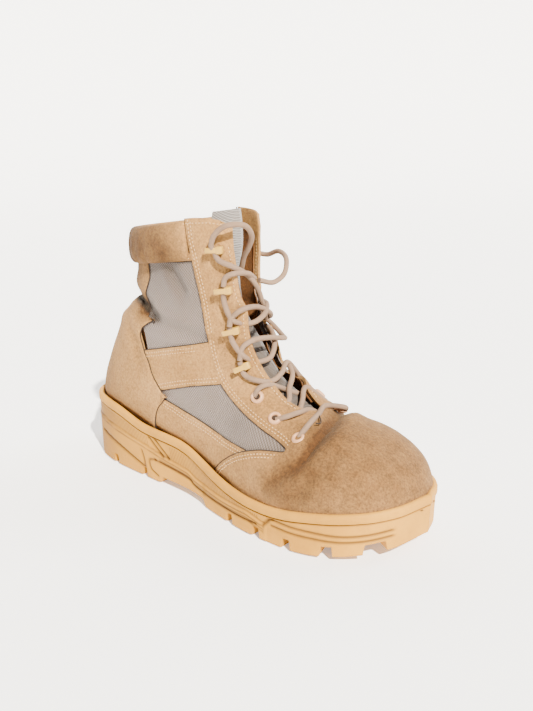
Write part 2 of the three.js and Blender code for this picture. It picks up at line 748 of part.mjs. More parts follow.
// free ends beyond the top hooks: each makes one loop and drops between the facings
const lateralEnd = [
  { x: 159, y: -40.5, z: 190 },
  { x: 163.5, y: -39, z: 196 },
  { x: 171, y: -34.5, z: 203.5 },
  { x: 176, y: -24, z: 202 },
  { x: 174.5, y: -17, z: 193.5 },
  { x: 168.5, y: -13, z: 185 },
  { x: 162, y: -11, z: 177 },
  { x: 158, y: -9, z: 169 },
];
const medialEnd = [
  { x: 128.5, y: 46, z: 168.5 },
  { x: 135, y: 47, z: 168.5 },
  { x: 147, y: 44.5, z: 172.5 },
  { x: 159.5, y: 38, z: 169.5 },
  { x: 166, y: 28, z: 160.5 },
  { x: 166.5, y: 15, z: 156 },
  { x: 163.5, y: 3, z: 159 },
];

function laceTube(points) {
  const curve = new THREE.CatmullRomCurve3(points, false, 'centripetal');
  const steps = Math.max(3, Math.round(curve.getLength() / lace.step));
  const shape = new THREE.Shape();
  shape.absarc(0, 0, laceDiameter / 2, 0, 2 * Math.PI);
  const options = { steps, extrudePath: curve, bevelEnabled: false, curveSegments: lace.sides / 2 };
  return toManifold(new THREE.ExtrudeGeometry(shape, options));
}

// points from a hold to just beyond the facing's edge; along is 1 for a strand that rises
// to the next row and -1 for one that falls
function laceStart(place, along) {
  const height = upperWall + laceDiameter / 2 + lace.aboveFacing;
  const beside = -Math.sign(place.turn) * along * lace.apart;
  const towards = (distance, lift) => {
    return new THREE.Vector3(-distance, lift, beside).applyMatrix4(surfaceFrame(place, height));
  };
  const overEdge = towards(behindEdge + lace.beyondEdge, 2 * lace.rise);
  return [towards(lace.clearOfHold, lace.rise), overEdge];
}

function laceStrand(low, high, middle) {
  return laceTube([...laceStart(low, 1), middle, ...laceStart(high, -1).reverse()]);
}

function makeLaces() {
  const rows = [...[...eyeletPlaces].reverse(), ...[...hookPlaces].reverse()].map(rowPlaces);
  const middleOf = (places) => {
    const middle = new THREE.Vector3();
    places.forEach((place) => middle.addScaledVector(laceStart(place, 0)[1], 1 / places.length));
    const out = surfaceFrame({ section: places[0].section, turn: 0.999 }, 0);
    const forward = new THREE.Vector3().setFromMatrixColumn(out, 1);
    return middle.addScaledVector(forward, lace.forward);
  };
  const [start, end] = rows[0].map((place) => laceStart(place, -1));
  const bar = laceTube([...start, middleOf(rows[0]), ...end.reverse()]);
  addPiece('lace_bar', toGeometry(bar), colours.lace, 0.9);
  for (let i = 0; i < rows.length - 1; i += 1) {
    const middle = middleOf([...rows[i], ...rows[i + 1]]);
    const rising = laceStrand(rows[i][0], rows[i + 1][1], middle);
    const falling = laceStrand(rows[i][1], rows[i + 1][0], middle);
    addPiece(`lace_crossing_${i + 1}`, toGeometry(rising.add(falling)), colours.lace, 0.9);
  }
  for (const [label, path] of [['lateral', lateralEnd], ['medial', medialEnd]]) {
    const points = path.map(({ x, y, z }) => new THREE.Vector3(x, y, z));
    addPiece(`lace_end_${label}`, toGeometry(laceTube(points)), colours.lace, 0.9);
  }
}

makeOutsole();
makeMidsole();
makeInsole();
makeUpper();
makeCounter();
makeCollar();
makeTongue();
makeHooks();
makeEyelets();
makeLaces();

// the box of the whole boot is centred over the origin, standing on z = 0
const bounds = new THREE.Box3().setFromObject(boot);
const centre = bounds.getCenter(new THREE.Vector3());
boot.position.set(-centre.x, -centre.y, -bounds.min.z);

export default boot;
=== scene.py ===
# Combat boot for the right foot: suede and fabric upper, rubber sole, loose round lace.
# Lengths are in millimetres in the boot's own frame (x from heel to toe, y to the inner side,
# z up) until a mesh is placed, when they become metres in the row frame.
import math

import bmesh
import bpy
import numpy as np
from mathutils import Matrix, Vector


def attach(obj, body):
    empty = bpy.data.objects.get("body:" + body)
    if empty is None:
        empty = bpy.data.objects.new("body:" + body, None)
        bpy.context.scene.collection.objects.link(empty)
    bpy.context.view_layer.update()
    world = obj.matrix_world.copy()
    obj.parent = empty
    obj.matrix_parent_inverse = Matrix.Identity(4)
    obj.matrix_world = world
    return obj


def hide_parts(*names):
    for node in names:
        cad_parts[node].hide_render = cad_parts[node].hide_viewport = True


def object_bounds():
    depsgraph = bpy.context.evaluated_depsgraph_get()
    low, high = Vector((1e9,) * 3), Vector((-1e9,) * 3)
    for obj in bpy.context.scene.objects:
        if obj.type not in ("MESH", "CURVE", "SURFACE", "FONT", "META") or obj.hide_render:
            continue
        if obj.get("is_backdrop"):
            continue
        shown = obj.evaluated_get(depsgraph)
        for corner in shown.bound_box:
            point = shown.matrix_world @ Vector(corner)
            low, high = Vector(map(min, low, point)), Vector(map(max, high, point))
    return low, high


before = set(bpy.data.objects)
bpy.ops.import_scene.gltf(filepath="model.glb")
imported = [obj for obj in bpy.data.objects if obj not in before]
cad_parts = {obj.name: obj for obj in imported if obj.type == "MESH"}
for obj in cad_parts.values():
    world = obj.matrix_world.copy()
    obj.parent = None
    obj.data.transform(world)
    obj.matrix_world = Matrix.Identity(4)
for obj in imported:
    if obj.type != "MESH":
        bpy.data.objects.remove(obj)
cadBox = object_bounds()
print("frame loaded")

bootShift = np.array([-152.5, 3.6025, 0.0])      # boot frame to row frame


def toRow(points):
    return (np.asarray(points, float) + bootShift) / 1000


def newObject(name, data):
    made = bpy.data.objects.new(name, data)
    bpy.context.scene.collection.objects.link(made)
    return made


# place and lens in millimetres, angles in degrees
cameraValues = {
    "place": (523.1, -414.2, 268.8), "yaw": 40.25, "pitch": 16.66, "roll": -0.28, "lens": 40.49,
}


def makeCamera():
    data = bpy.data.cameras.new("camera")
    data.sensor_fit = "VERTICAL"
    data.sensor_height = 36
    data.lens = cameraValues["lens"]
    camera = newObject("camera", data)
    yaw, pitch = math.radians(cameraValues["yaw"]), math.radians(cameraValues["pitch"])
    right = Vector((math.cos(yaw), math.sin(yaw), 0))
    ahead = Vector((-math.sin(yaw) * math.cos(pitch), math.cos(yaw) * math.cos(pitch), -math.sin(pitch)))
    up = right.cross(ahead)
    turn = Matrix((right, up, -ahead)).transposed().to_4x4()
    roll = Matrix.Rotation(math.radians(cameraValues["roll"]), 4, "Z")
    camera.matrix_world = Matrix.Translation(toRow(cameraValues["place"])) @ turn @ roll
    bpy.context.scene.camera = camera


makeCamera()


# a section runs from (bx, bz) under or behind the foot to (tx, tz) on top, both at y = mid;
# lateral and medial are how far it reaches either side of y = 0, widest is the share of its run
# where it is widest, and low, high and inner are how square it is below, above on the outer side
# and above on the inner side
lastColumns = ("bx", "bz", "tx", "tz", "mid", "lateral", "medial", "widest", "low", "high", "inner")
lastRows = np.array([
    # a fan of sections from the toe over the instep and up the shaft
    (298.2, 25.5, 298.5, 33, 5.5, 1, 12, 0.5, 2, 2, 2),
    (295, 23, 295.8, 42, 4.5, 14, 20, 0.45, 2.3, 2, 2),
    (289, 21, 290, 50, 3, 26, 28.5, 0.42, 2.6, 2.1, 2.1),
    (280, 19.5, 281, 57.5, 2, 36, 36.5, 0.4, 3, 2.2, 2.2),
    (268, 18, 269, 64.3, 1, 43.5, 42, 0.38, 3.2, 2.2, 2.2),
    (252, 15.5, 254, 69.2, 0, 49.5, 44.8, 0.36, 3.4, 2.2, 2.2),
    (235, 12.8, 238, 72, 0, 51.8, 45, 0.34, 3.4, 2.1, 2.1),
    (214, 11, 220, 74.5, 0, 51.5, 42.5, 0.33, 3.4, 2, 2),
    (192, 12, 204.5, 83.5, 0, 49, 38.5, 0.32, 3.4, 2, 2),
    (168, 16.5, 198, 91, 0, 45, 34.5, 0.32, 3.2, 2, 2),
    (142, 22, 193.5, 98.5, 0, 40.5, 32, 0.33, 3, 2, 2),
    (114, 27, 190.2, 105.5, 0, 38, 32, 0.35, 2.8, 2.1, 2.1),
    (84, 29.5, 188, 112, 0, 37, 33, 0.38, 2.6, 2.2, 2.2),
    (54, 36, 186.5, 118, 0, 36.5, 34, 0.42, 2.5, 2.3, 2.3),
    (27, 39, 185.2, 123.5, 0, 36.5, 34.5, 0.46, 2.4, 2.4, 2.4),
    (12, 46, 184.2, 128, 0, 36.5, 35, 0.5, 2.4, 2.4, 2.2),
    (11.2, 58, 183.3, 132.5, 0, 36.5, 35, 0.5, 2.3, 2.4, 2.05),
    (17, 76, 182.3, 137.5, 0, 36.5, 35, 0.5, 2.2, 2.4, 1.9),
    (26, 95, 181.3, 143, 0, 36.5, 35, 0.5, 2.1, 2.4, 1.78),
    (33, 109, 180.2, 148.5, 0, 36.5, 35, 0.5, 2.1, 2.4, 1.68),
    (36.5, 118, 179.4, 152.5, 0, 36, 34.5, 0.5, 2.1, 2.4, 1.6),
    (49.5, 127, 178.5, 157, 0, 35.5, 34, 0.5, 2.2, 2.4, 1.55),
    (56.5, 138, 177.4, 164, 0, 35.5, 34, 0.5, 2.2, 2.4, 1.5),
    (57.5, 150, 176.3, 172.5, 0, 36.5, 34.5, 0.5, 2.2, 2.4, 1.5),
    (60, 163, 175.2, 182, 0, 37, 35, 0.5, 2.2, 2.4, 1.5),
    (58.5, 177, 173.3, 195, 0, 37, 35, 0.5, 2.2, 2.4, 1.5),
    (57.5, 196, 170, 214, 0, 37, 35, 0.5, 2.2, 2.4, 1.5),
], float)
sectionCount = len(lastRows) - 1


def lastRow(section):
    at = np.clip(np.asarray(section, float), 0, sectionCount)
    index = np.minimum(at.astype(int), sectionCount - 1)
    t = (at - index)[..., None]
    row = lambda i: lastRows[np.clip(i, 0, sectionCount)]
    p0, p1, p2, p3 = row(index - 1), row(index), row(index + 1), row(index + 2)
    value = (2 * t**3 - 3 * t**2 + 1) * p1 + (t**3 - 2 * t**2 + t) * (p2 - p0) / 2
    value = value + (3 * t**2 - 2 * t**3) * p2 + (t**3 - t**2) * (p3 - p1) / 2
    return {name: value[..., i] for i, name in enumerate(lastColumns)}


# a turn past the top goes on down the other side
def wrapTurn(turn):
    turn = np.asarray(turn, float)
    return np.where(turn > 1, turn - 2, np.where(turn < -1, turn + 2, turn))


# turn 0 is under or behind the foot, 1 and -1 meet on top, negative turns are lateral
def lastPoint(section, turn):
    section, turn = np.broadcast_arrays(np.asarray(section, float), wrapTurn(turn))
    row = lastRow(section)
    angle = np.pi * np.abs(turn)
    along = -np.cos(angle)
    squareness = np.where(along < 0, row["low"], np.where(turn > 0, row["inner"], row["high"]))
    reach = np.sign(along) * np.abs(along) ** (2 / squareness)
    width = np.maximum(np.sin(angle), 0) ** (2 / squareness)
    widest = row["widest"]
    t = np.where(reach < 0, widest * (1 + reach), widest + (1 - widest) * reach)
    half = np.where(turn < 0, -(row["lateral"] + row["mid"]), row["medial"] - row["mid"])
    return np.stack([
        row["bx"] + (row["tx"] - row["bx"]) * t,
        row["mid"] + half * width,
        row["bz"] + (row["tz"] - row["bz"]) * t,
    ], -1)


# places on the last and the directions out of it
def surfaceAt(section, turn):
    section = np.asarray(section, float)
    step = 0.02
    along = lastPoint(np.minimum(section + step, sectionCount), turn)
    along = along - lastPoint(np.maximum(section - step, 0), turn)
    around = lastPoint(section, wrapTurn(turn + step)) - lastPoint(section, wrapTurn(turn - step))
    normal = np.cross(along, around)
    normal /= np.linalg.norm(normal, axis=-1, keepdims=True) + 1e-9
    return lastPoint(section, turn), normal


# section and turn of points seen from the side
def locate(x, z, side):
    x, z = np.broadcast_arrays(np.asarray(x, float), np.asarray(z, float))
    low, high = np.zeros(x.shape), np.full(x.shape, float(sectionCount))
    for _ in range(34):
        middle = (low + high) / 2
        row = lastRow(middle)
        across = (row["tx"] - row["bx"]) * (z - row["bz"]) - (row["tz"] - row["bz"]) * (x - row["bx"])
        low, high = np.where(across > 0, middle, low), np.where(across > 0, high, middle)
    section = (low + high) / 2
    row = lastRow(section)
    run = (row["tx"] - row["bx"]) ** 2 + (row["tz"] - row["bz"]) ** 2
    t = ((x - row["bx"]) * (row["tx"] - row["bx"]) + (z - row["bz"]) * (row["tz"] - row["bz"])) / run
    reach = np.where(t < row["widest"], t / row["widest"] - 1, (t - row["widest"]) / (1 - row["widest"]))
    front = row["high"] if side < 0 else row["inner"]
    along = np.sign(reach) * np.abs(reach) ** (np.where(reach < 0, row["low"], front) / 2)
    return section, side * np.arccos(-np.clip(along, -1, 1)) / np.pi


# one column of a table, read off smoothly without overshoot
def smoothColumn(rows, column, x):
    rows = np.asarray(rows, float)
    knots, values = rows[:, 0], rows[:, column]
    slopes = np.diff(values) / np.diff(knots)
    tangents = np.empty(len(values))
    tangents[0], tangents[-1] = slopes[0], slopes[-1]
    before, after = slopes[:-1], slopes[1:]
    same = before * after > 0
    mixed = 2 * before * after / np.where(same, before + after, 1)
    tangents[1:-1] = np.where(same, mixed, 0)
    at = np.clip(np.asarray(x, float), knots[0], knots[-1])
    i = np.clip(np.searchsorted(knots, at, side="right") - 1, 0, len(knots) - 2)
    span = knots[i + 1] - knots[i]
    t = (at - knots[i]) / span
    return ((2 * t**3 - 3 * t**2 + 1) * values[i] + (t**3 - 2 * t**2 + t) * span * tangents[i]
            + (3 * t**2 - 2 * t**3) * values[i + 1] + (t**3 - t**2) * span * tangents[i + 1])


strapFold = [(92, 129), (97.2, 128.2), (124.7, 123.7), (150, 120.9)]
ankleFold = [(40, 133), (64, 139.5), (84, 136), (99, 130.5)]
# each line sinks by its depth over about its width, and painted shade darkens it a little by its depth and
# more by its shade over its shadeWidth;
# a line with a side is given as seen from that side
creaseLines = [
    {"line": [(223, 34, 60), (226, 20, 71), (231.3, 5.4, 75), (238.4, -14.3, 73.4), (240.3, -28.4, 68.9),
              (237.4, -43.8, 58.8), (230.8, -49.5, 51.4), (218.4, -53.3, 40.6)], "depth": 4.6, "width": 5},
    {"line": [(231.3, 5.4, 75), (238.4, -14.3, 73.4), (240.3, -28.4, 68.9), (237.4, -43.8, 58.8)],
     "depth": 3, "width": 2, "shade": 0.8, "shadeWidth": 1.5},
    {"line": [(252, -30, 62), (249, -42, 54), (243, -49, 44), (236, -53, 36)], "depth": 2.4, "width": 6},
    {"line": [(116, 168), (120, 164), (126.3, 153.8), (128, 148)], "side": -1, "depth": 2.2, "width": 4.5},
    {"line": strapFold, "side": -1, "depth": 1.8, "width": 4},
    {"line": strapFold, "side": 1, "depth": 1.4, "width": 4},
    {"line": [(67.6, 118.1), (79.4, 105.8), (79.8, 98.3), (87.5, 90.8)], "side": -1,
     "depth": 1.6, "width": 4, "shade": 0.7, "shadeWidth": 2.5},
    {"line": ankleFold, "side": -1, "depth": 2.8, "width": 5.5, "shade": 2.4, "shadeWidth": 3.6},
    {"line": ankleFold, "side": 1, "depth": 2.8, "width": 5.5, "shade": 1.0, "shadeWidth": 3.6},
    {"line": [(62, 172), (64, 165), (62, 154), (60, 144)], "side": -1,
     "depth": 0.1, "width": 4, "shade": 1.2, "shadeWidth": 8},
    {"line": [(150, 146), (160, 143), (170, 141)], "side": -1, "depth": 0.9, "width": 4},
    {"line": [(155, 118), (166, 116), (176, 113)], "side": -1, "depth": 1.0, "width": 4.5},
]

wearAndShadeSpots = [
    # x, y, z, radius, strength; spots of wear and of painted shade, such as on the shaded collar, backstay,
    # heel and ankle fold; suede darkened by more than about 1.3 is near black
    (262, 0, 45, 80, 0.95), (244, -18, 70, 16, 0.2), (262, -40, 50, 22, 0.12), (230, -52, 40, 22, 0.25),
    (290, 5, 45, 20, 0.1), (60, -38, 160, 10, 0.2), (100, -44, 187, 30, 0.8), (62, -34, 187, 28, 1.0),
    (118, -44, 160, 24, 0.35), (60, -30, 70, 22, 0.12), (120, -40, 95, 18, 0.1), (180, -38, 70, 12, 0.25),
    (170, -30, 110, 14, 0.25), (165, -36, 150, 30, 0.15), (150, -40, 40, 18, 0.15),
    (20, -30, 60, 30, 0.5), (15, -10, 110, 45, 0.5), (64, -40, 141, 10, 2.6), (84, -42, 136, 7, 2.2),
    (64, 40, 141, 10, 0.5), (64, -36, 160, 14, 1.1), (40, 0, 150, 26, 0.3), (120, -44, 178, 12, 0.3),
]


def sidePoints(points, side):
    points = np.asarray(points, float)
    section, turn = locate(points[:, 0], points[:, 1], side)
    return surfaceAt(section, turn)[0]


# points at an even step along a line
def resample(points, step):
    points = np.asarray(points, float)
    runs = np.concatenate([[0], np.cumsum(np.linalg.norm(np.diff(points, axis=0), axis=1))])
    count = max(2, int(round(runs[-1] / step)) + 1)
    at = np.linspace(0, runs[-1], count)
    return np.stack([np.interp(at, runs, points[:, k]) for k in range(points.shape[1])], 1)


# a smooth curve through the points
def smoothLine(points, perSpan=8):
    p = np.asarray(points, float)
    if len(p) < 3:
        return resample(p, np.linalg.norm(p[-1] - p[0]) / perSpan)
    out = []
    for i in range(len(p) - 1):
        p0 = p[i - 1] if i > 0 else 2 * p[0] - p[1]
        p3 = p[i + 2] if i + 2 < len(p) else 2 * p[-1] - p[-2]
        m1, m2 = (p[i + 1] - p0) / 2, (p3 - p[i]) / 2
        t = np.linspace(0, 1, perSpan, endpoint=False)[:, None]
        out.append((2 * t**3 - 3 * t**2 + 1) * p[i] + (t**3 - 2 * t**2 + t) * m1
                   + (3 * t**2 - 2 * t**3) * p[i + 1] + (t**3 - t**2) * m2)
    out.append(p[-1:])
    return np.concatenate(out)


# each point's distance from a line, and how far along the line it is, from 0 to 1
def lineDistance(points, line):
    best = np.full(len(points), 1e9)
    along = np.zeros(len(points))
    total = len(line) - 1
    for i in range(total):
        a, b = line[i], line[i + 1]
        ab = b - a
        t = np.clip(((points - a) @ ab) / max(ab @ ab, 1e-9), 0, 1)
        d = np.linalg.norm(points - a - t[:, None] * ab, axis=1)
        closer = d < best
        best = np.where(closer, d, best)
        along = np.where(closer, (i + t) / total, along)
    return best, along


def layCrease(crease):
    points = crease["line"]
    if "side" in crease:
        points = sidePoints(points, crease["side"])
    return {**crease, "line": smoothLine(points, 5)}


creases = [layCrease(crease) for crease in creaseLines]


# how far the surface stands out at each point, in millimetres
def creaseField(points):
    total = np.zeros(len(points))
    for crease in creases:
        line, depth, width = crease["line"], crease["depth"], crease["width"]
        near = (points > line.min(0) - 4 * width).all(1) & (points < line.max(0) + 4 * width).all(1)
        if not near.any():
            continue
        d, along = lineDistance(points[near], line)
        strength = 0.35 + 0.65 * np.clip(np.minimum(along, 1 - along) * 6, 0, 1)
        total[near] -= depth * np.exp(-((d / width) ** 2)) * strength
        total[near] += 0.3 * depth * np.exp(-(((d - 2.1 * width) / width) ** 2)) * strength
    x, y, z = points.T
    gentle = np.sin(x / 9.3 + 1.3 * np.sin(z / 13.1)) * np.sin(z / 8.1 + 0.9 * np.sin(y / 7.7))
    finer = np.sin(x / 3.7 + z / 5.9 + y / 4.3) * np.sin(z / 3.1 - x / 6.7)
    return total + 0.28 * gentle + 0.07 * finer


# how worn and how darkened by painted shade the surface is at each point, with painted shade along the
# creases
def wearAndShadeField(points):
    total = np.zeros(len(points))
    for x, y, z, radius, strength in wearAndShadeSpots:
        d = np.linalg.norm(points - np.array([x, y, z]), axis=1)
        total += strength * np.exp(-((d / radius) ** 2))
    for crease in creases:
        d, _ = lineDistance(points, crease["line"])
        total += 0.09 * crease["depth"] * np.exp(-((d / (1.4 * crease["width"])) ** 2))
        if "shade" in crease:
            total += crease["shade"] * np.exp(-((d / crease["shadeWidth"]) ** 2))
    return total


def colour(code):
    parts = [int(code[i:i + 2], 16) / 255 for i in (0, 2, 4)]
    return [p / 12.92 if p <= 0.04045 else ((p + 0.055) / 1.055) ** 2.4 for p in parts] + [1]


def newMaterial(name):
    material = bpy.data.materials.new(name)
    material.use_nodes = True
    nodes = material.node_tree.nodes
    nodes.clear()
    output = nodes.new("ShaderNodeOutputMaterial")
    shader = nodes.new("ShaderNodeBsdfPrincipled")
    material.node_tree.links.new(shader.outputs[0], output.inputs[0])
    return material, shader


class Wiring:
    def __init__(self, material):
        self.tree = material.node_tree

    def node(self, kind, **values):
        made = self.tree.nodes.new(kind)
        for key, value in values.items():
            setattr(made, key, value)
        return made

    def link(self, source, target):
        self.tree.links.new(source, target)

    def noise(self, scale, detail, roughness):
        made = self.node("ShaderNodeTexNoise")
        made.inputs["Scale"].default_value = scale
        made.inputs["Detail"].default_value = detail
        made.inputs["Roughness"].default_value = roughness
        self.link(self.objectSpace(), made.inputs["Vector"])
        return made.outputs["Fac"]

    def objectSpace(self):
        return self.node("ShaderNodeTexCoord").outputs["Object"]

    def stretch(self, low, high, value, to=(0, 1)):
        made = self.node("ShaderNodeMapRange")
        made.inputs["From Min"].default_value = low
        made.inputs["From Max"].default_value = high
        made.inputs["To Min"].default_value = to[0]
        made.inputs["To Max"].default_value = to[1]
        self.link(value, made.inputs["Value"])
        return made.outputs["Result"]

    # a socket is linked, and a number or colour is set
    def feed(self, made, values):
        for index, value in values.items():
            if hasattr(value, "is_linked"):
                self.link(value, made.inputs[index])
            else:
                made.inputs[index].default_value = value

    def mix(self, factor, a, b, kind="MIX"):
        made = self.node("ShaderNodeMix", data_type="RGBA", blend_type=kind)
        self.feed(made, {0: factor, 6: a, 7: b})
        return made.outputs[2]

    def math(self, kind, a, b=0):
        made = self.node("ShaderNodeMath", operation=kind)
        self.feed(made, {0: a, 1: b})
        return made.outputs[0]

    def attribute(self, name):
        return self.node("ShaderNodeAttribute", attribute_name=name).outputs["Fac"]

    def bump(self, height, distance, strength):
        made = self.node("ShaderNodeBump")
        made.inputs["Distance"].default_value = distance
        made.inputs["Strength"].default_value = strength
        self.link(height, made.inputs["Height"])
        return made.outputs["Normal"]


suedeValues = {
    # dark and black are the colours that wear and painted shade darken the suede towards
    "colour": "9B7C50", "light": "AD8C60", "dark": "4A331C", "black": "1A120C", "streak": "8A6236",
    "napDark": "4A3014", "napLight": "E0C090", "roughness": 0.95, "specular": 0.18,
    "patchScale": 34, "streakScale": 140, "napScale": 620, "grainScale": 170,
    "sheen": 0.08, "sheenTint": "E3C9A0", "bump": 0.0006,
}


def suedeMaterial(name, colourCode=None, lightCode=None):
    v = suedeValues
    material, shader = newMaterial(name)
    w = Wiring(material)
    patches = w.stretch(0.35, 0.68, w.noise(v["patchScale"], 4, 0.6))
    streaks = w.stretch(0.4, 0.7, w.noise(v["streakScale"], 3, 0.65))
    nap = w.noise(v["napScale"], 4, 0.7)
    base = w.mix(patches, colour(colourCode or v["colour"]), colour(lightCode or v["light"]))
    base = w.mix(w.math("MULTIPLY", streaks, 0.22), base, colour(v["streak"]))
    # wear and painted shade darken the suede towards dark, and past about 1.3 towards black
    wornAndShaded = w.math("MULTIPLY", w.attribute("wearAndShade"), w.stretch(0.3, 0.7, w.noise(90, 5, 0.6), (0.82, 1.12)))
    base = w.mix(w.stretch(0, 1.2, wornAndShaded), base, colour(v["dark"]))
    base = w.mix(w.stretch(1.25, 2.1, w.attribute("wearAndShade")), base, colour(v["black"]))
    fibres = w.mix(w.stretch(0.34, 0.66, nap), colour(v["napDark"]), colour(v["napLight"]))
    base = w.mix(0.6, base, fibres, "SOFT_LIGHT")
    w.link(base, shader.inputs["Base Color"])
    shader.inputs["Roughness"].default_value = v["roughness"]
    shader.inputs["Specular IOR Level"].default_value = v["specular"]
    shader.inputs["Sheen Weight"].default_value = v["sheen"]
    shader.inputs["Sheen Roughness"].default_value = 0.6
    shader.inputs["Sheen Tint"].default_value = colour(v["sheenTint"])
    grain = w.math("ADD", nap, w.math("MULTIPLY", w.noise(v["grainScale"], 4, 0.6), 1.2))
    w.link(w.bump(grain, v["bump"], 0.8), shader.inputs["Normal"])
    return material


fabricValues = {
    "thread": "8E7F77", "gap": "52443A", "dust": "6E5C4C", "dirt": "3A2C20", "pitch": 0.0016,
    "roughness": 0.8, "specular": 0.3, "sheen": 0.2, "bump": 0.0005,
}


def fabricMaterial(name, threadCode=None, gapCode=None, pitch=None):
    v = fabricValues
    material, shader = newMaterial(name)
    w = Wiring(material)
    place = w.node("ShaderNodeSeparateXYZ")
    w.link(w.objectSpace(), place.inputs[0])
    turns = 2 * math.pi / (pitch or v["pitch"])
    rising = w.math("ADD", place.outputs[0], place.outputs[2])
    falling = w.math("SUBTRACT", place.outputs[0], w.math("MULTIPLY", place.outputs[2], 0.8))
    waveA = w.math("SINE", w.math("MULTIPLY", rising, turns * 0.72))
    waveB = w.math("SINE", w.math("MULTIPLY", falling, turns * 0.86))
    weave = w.stretch(-1.2, 1.3, w.math("ADD", waveA, w.math("MULTIPLY", waveB, 0.7)))
    base = w.mix(weave, colour(gapCode or v["gap"]), colour(threadCode or v["thread"]))
    dusty = w.math("MULTIPLY", w.stretch(0.4, 0.7, w.noise(55, 4, 0.6)), 0.35)
    base = w.mix(dusty, base, colour(v["dust"]))
    # wear and painted shade darken the fabric
    base = w.mix(w.math("MULTIPLY", w.attribute("wearAndShade"), 0.8), base, colour(v["dirt"]))
    w.link(base, shader.inputs["Base Color"])
    shader.inputs["Roughness"].default_value = v["roughness"]
    shader.inputs["Specular IOR Level"].default_value = v["specular"]
    shader.inputs["Sheen Weight"].default_value = v["sheen"]
    w.link(w.bump(weave, v["bump"], 0.8), shader.inputs["Normal"])
    return material


grimeColour = "4A3018"


def plainMaterial(name, code, roughness, variation, scale=60, bump=0.0001, bumpScale=300,
                  specular=0.4):
    material, shader = newMaterial(name)
    w = Wiring(material)
    grimy = w.math("MULTIPLY", w.stretch(0.35, 0.7, w.noise(scale, 4, 0.6)), variation)
    base = w.mix(grimy, colour(code), colour(grimeColour))
    w.link(base, shader.inputs["Base Color"])
    shader.inputs["Roughness"].default_value = roughness
    shader.inputs["Specular IOR Level"].default_value = specular
    w.link(w.bump(w.noise(bumpScale, 3, 0.6), bump, 0.5), shader.inputs["Normal"])
    return material


rubberValues = {
    "colour": "BE8830", "dust": "A87628", "speck": "8A5E30", "groove": "5A3A14", "ribPitch": 0.0019,
    "ribShade": 0.62, "roughness": 0.6, "specular": 0.12,
}


def rubberMaterial():
    v = rubberValues
    material, shader = newMaterial("soleRubber")
    w = Wiring(material)
    base = w.mix(w.stretch(0.4, 0.75, w.noise(28, 4, 0.6)), colour(v["colour"]), colour(v["dust"]))
    specks = w.math("MULTIPLY", w.stretch(0.55, 0.75, w.noise(260, 4, 0.7)), 0.25)
    base = w.mix(specks, base, colour(v["speck"]))
    # painted shade darkens the grooves, the recess over the rim and the heel
    base = w.mix(w.stretch(0, 1, w.attribute("wearAndShade")), base, colour(v["groove"]))
    place = w.node("ShaderNodeSeparateXYZ")
    w.link(w.objectSpace(), place.inputs[0])
    run = w.math("ADD", place.outputs[0], w.math("MULTIPLY", place.outputs[2], 0.25))
    wave = w.math("SINE", w.math("MULTIPLY", run, 2 * math.pi / v["ribPitch"]))
    # painted shade in the hollows of the fine ribs
    wave = w.math("MULTIPLY", w.stretch(-0.4, 0.9, wave), w.attribute("ribs"))
    base = w.mix(w.math("MULTIPLY", wave, v["ribShade"]), base, colour(v["groove"]))
    w.link(base, shader.inputs["Base Color"])
    shader.inputs["Roughness"].default_value = v["roughness"]
    shader.inputs["Specular IOR Level"].default_value = v["specular"]
    w.link(w.bump(w.noise(500, 3, 0.6), 0.0001, 0.5), shader.inputs["Normal"])
    return material


finishes = {
    "suede": suedeMaterial("suede"),
    "suedeInside": suedeMaterial("suedeInside", "5F3F22", "75502D"),
    "fabric": fabricMaterial("fabric"),
    "tongueFabric": fabricMaterial("tongueFabric", "8F8983", "5F5A55", 0.0012),
    "rubber": rubberMaterial(),
    "hook": plainMaterial("hookPlastic", "B8903F", 0.45, 0.08),
    "eyelet": plainMaterial("eyeletEnamel", "BD8C66", 0.4, 0.06),
    # painted shade: a near black material for the eyelets' holes and the seam shadows
    "hole": plainMaterial("hole", "2A2018", 1.0, 0.1),
    "lace": plainMaterial("laceCord", "826A56", 0.9, 0.16, 160, 0.0003, 1400, 0.2),
    "thread": plainMaterial("thread", "C29C6C", 0.8, 0.1),
    "foot": plainMaterial("insoleFabric", "4E3A28", 0.95, 0.25),
}
print("materials made")


def smoothShade(mesh, angle=50):
    for polygon in mesh.polygons:
        polygon.use_smooth = True
    mesh.set_sharp_from_angle(angle=math.radians(angle))


def addPiece(name, bm, materials, nodes=(), angle=50):
    mesh = bpy.data.meshes.new(name)
    bm.to_mesh(mesh)
    bm.free()
    for finish in materials:
        mesh.materials.append(finishes[finish])
    smoothShade(mesh, angle)
    piece = newObject(name, mesh)
    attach(piece, "root")
    if nodes:
        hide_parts(*nodes)
    return piece


def flatPolygon(outline, cells):
    bm = bmesh.new()
    bm.faces.new([bm.verts.new((u, v, 0)) for u, v in outline])
    low, high = np.min(outline, 0), np.max(outline, 0)
    for axis in (0, 1):
        cuts = np.arange(math.ceil(low[axis] / cells[axis]), math.ceil(high[axis] / cells[axis]))
        for cut in cuts * cells[axis]:
            place = [0, 0, 0]
            place[axis] = cut
            direction = [0, 0, 0]
            direction[axis] = 1
            bmesh.ops.bisect_plane(bm, geom=bm.verts[:] + bm.edges[:] + bm.faces[:], dist=1e-6,
                                   plane_co=place, plane_no=direction)
    return bm


panelValues = {"cell": 2.2, "skirtShade": 2.2, "rimShade": 1.1}


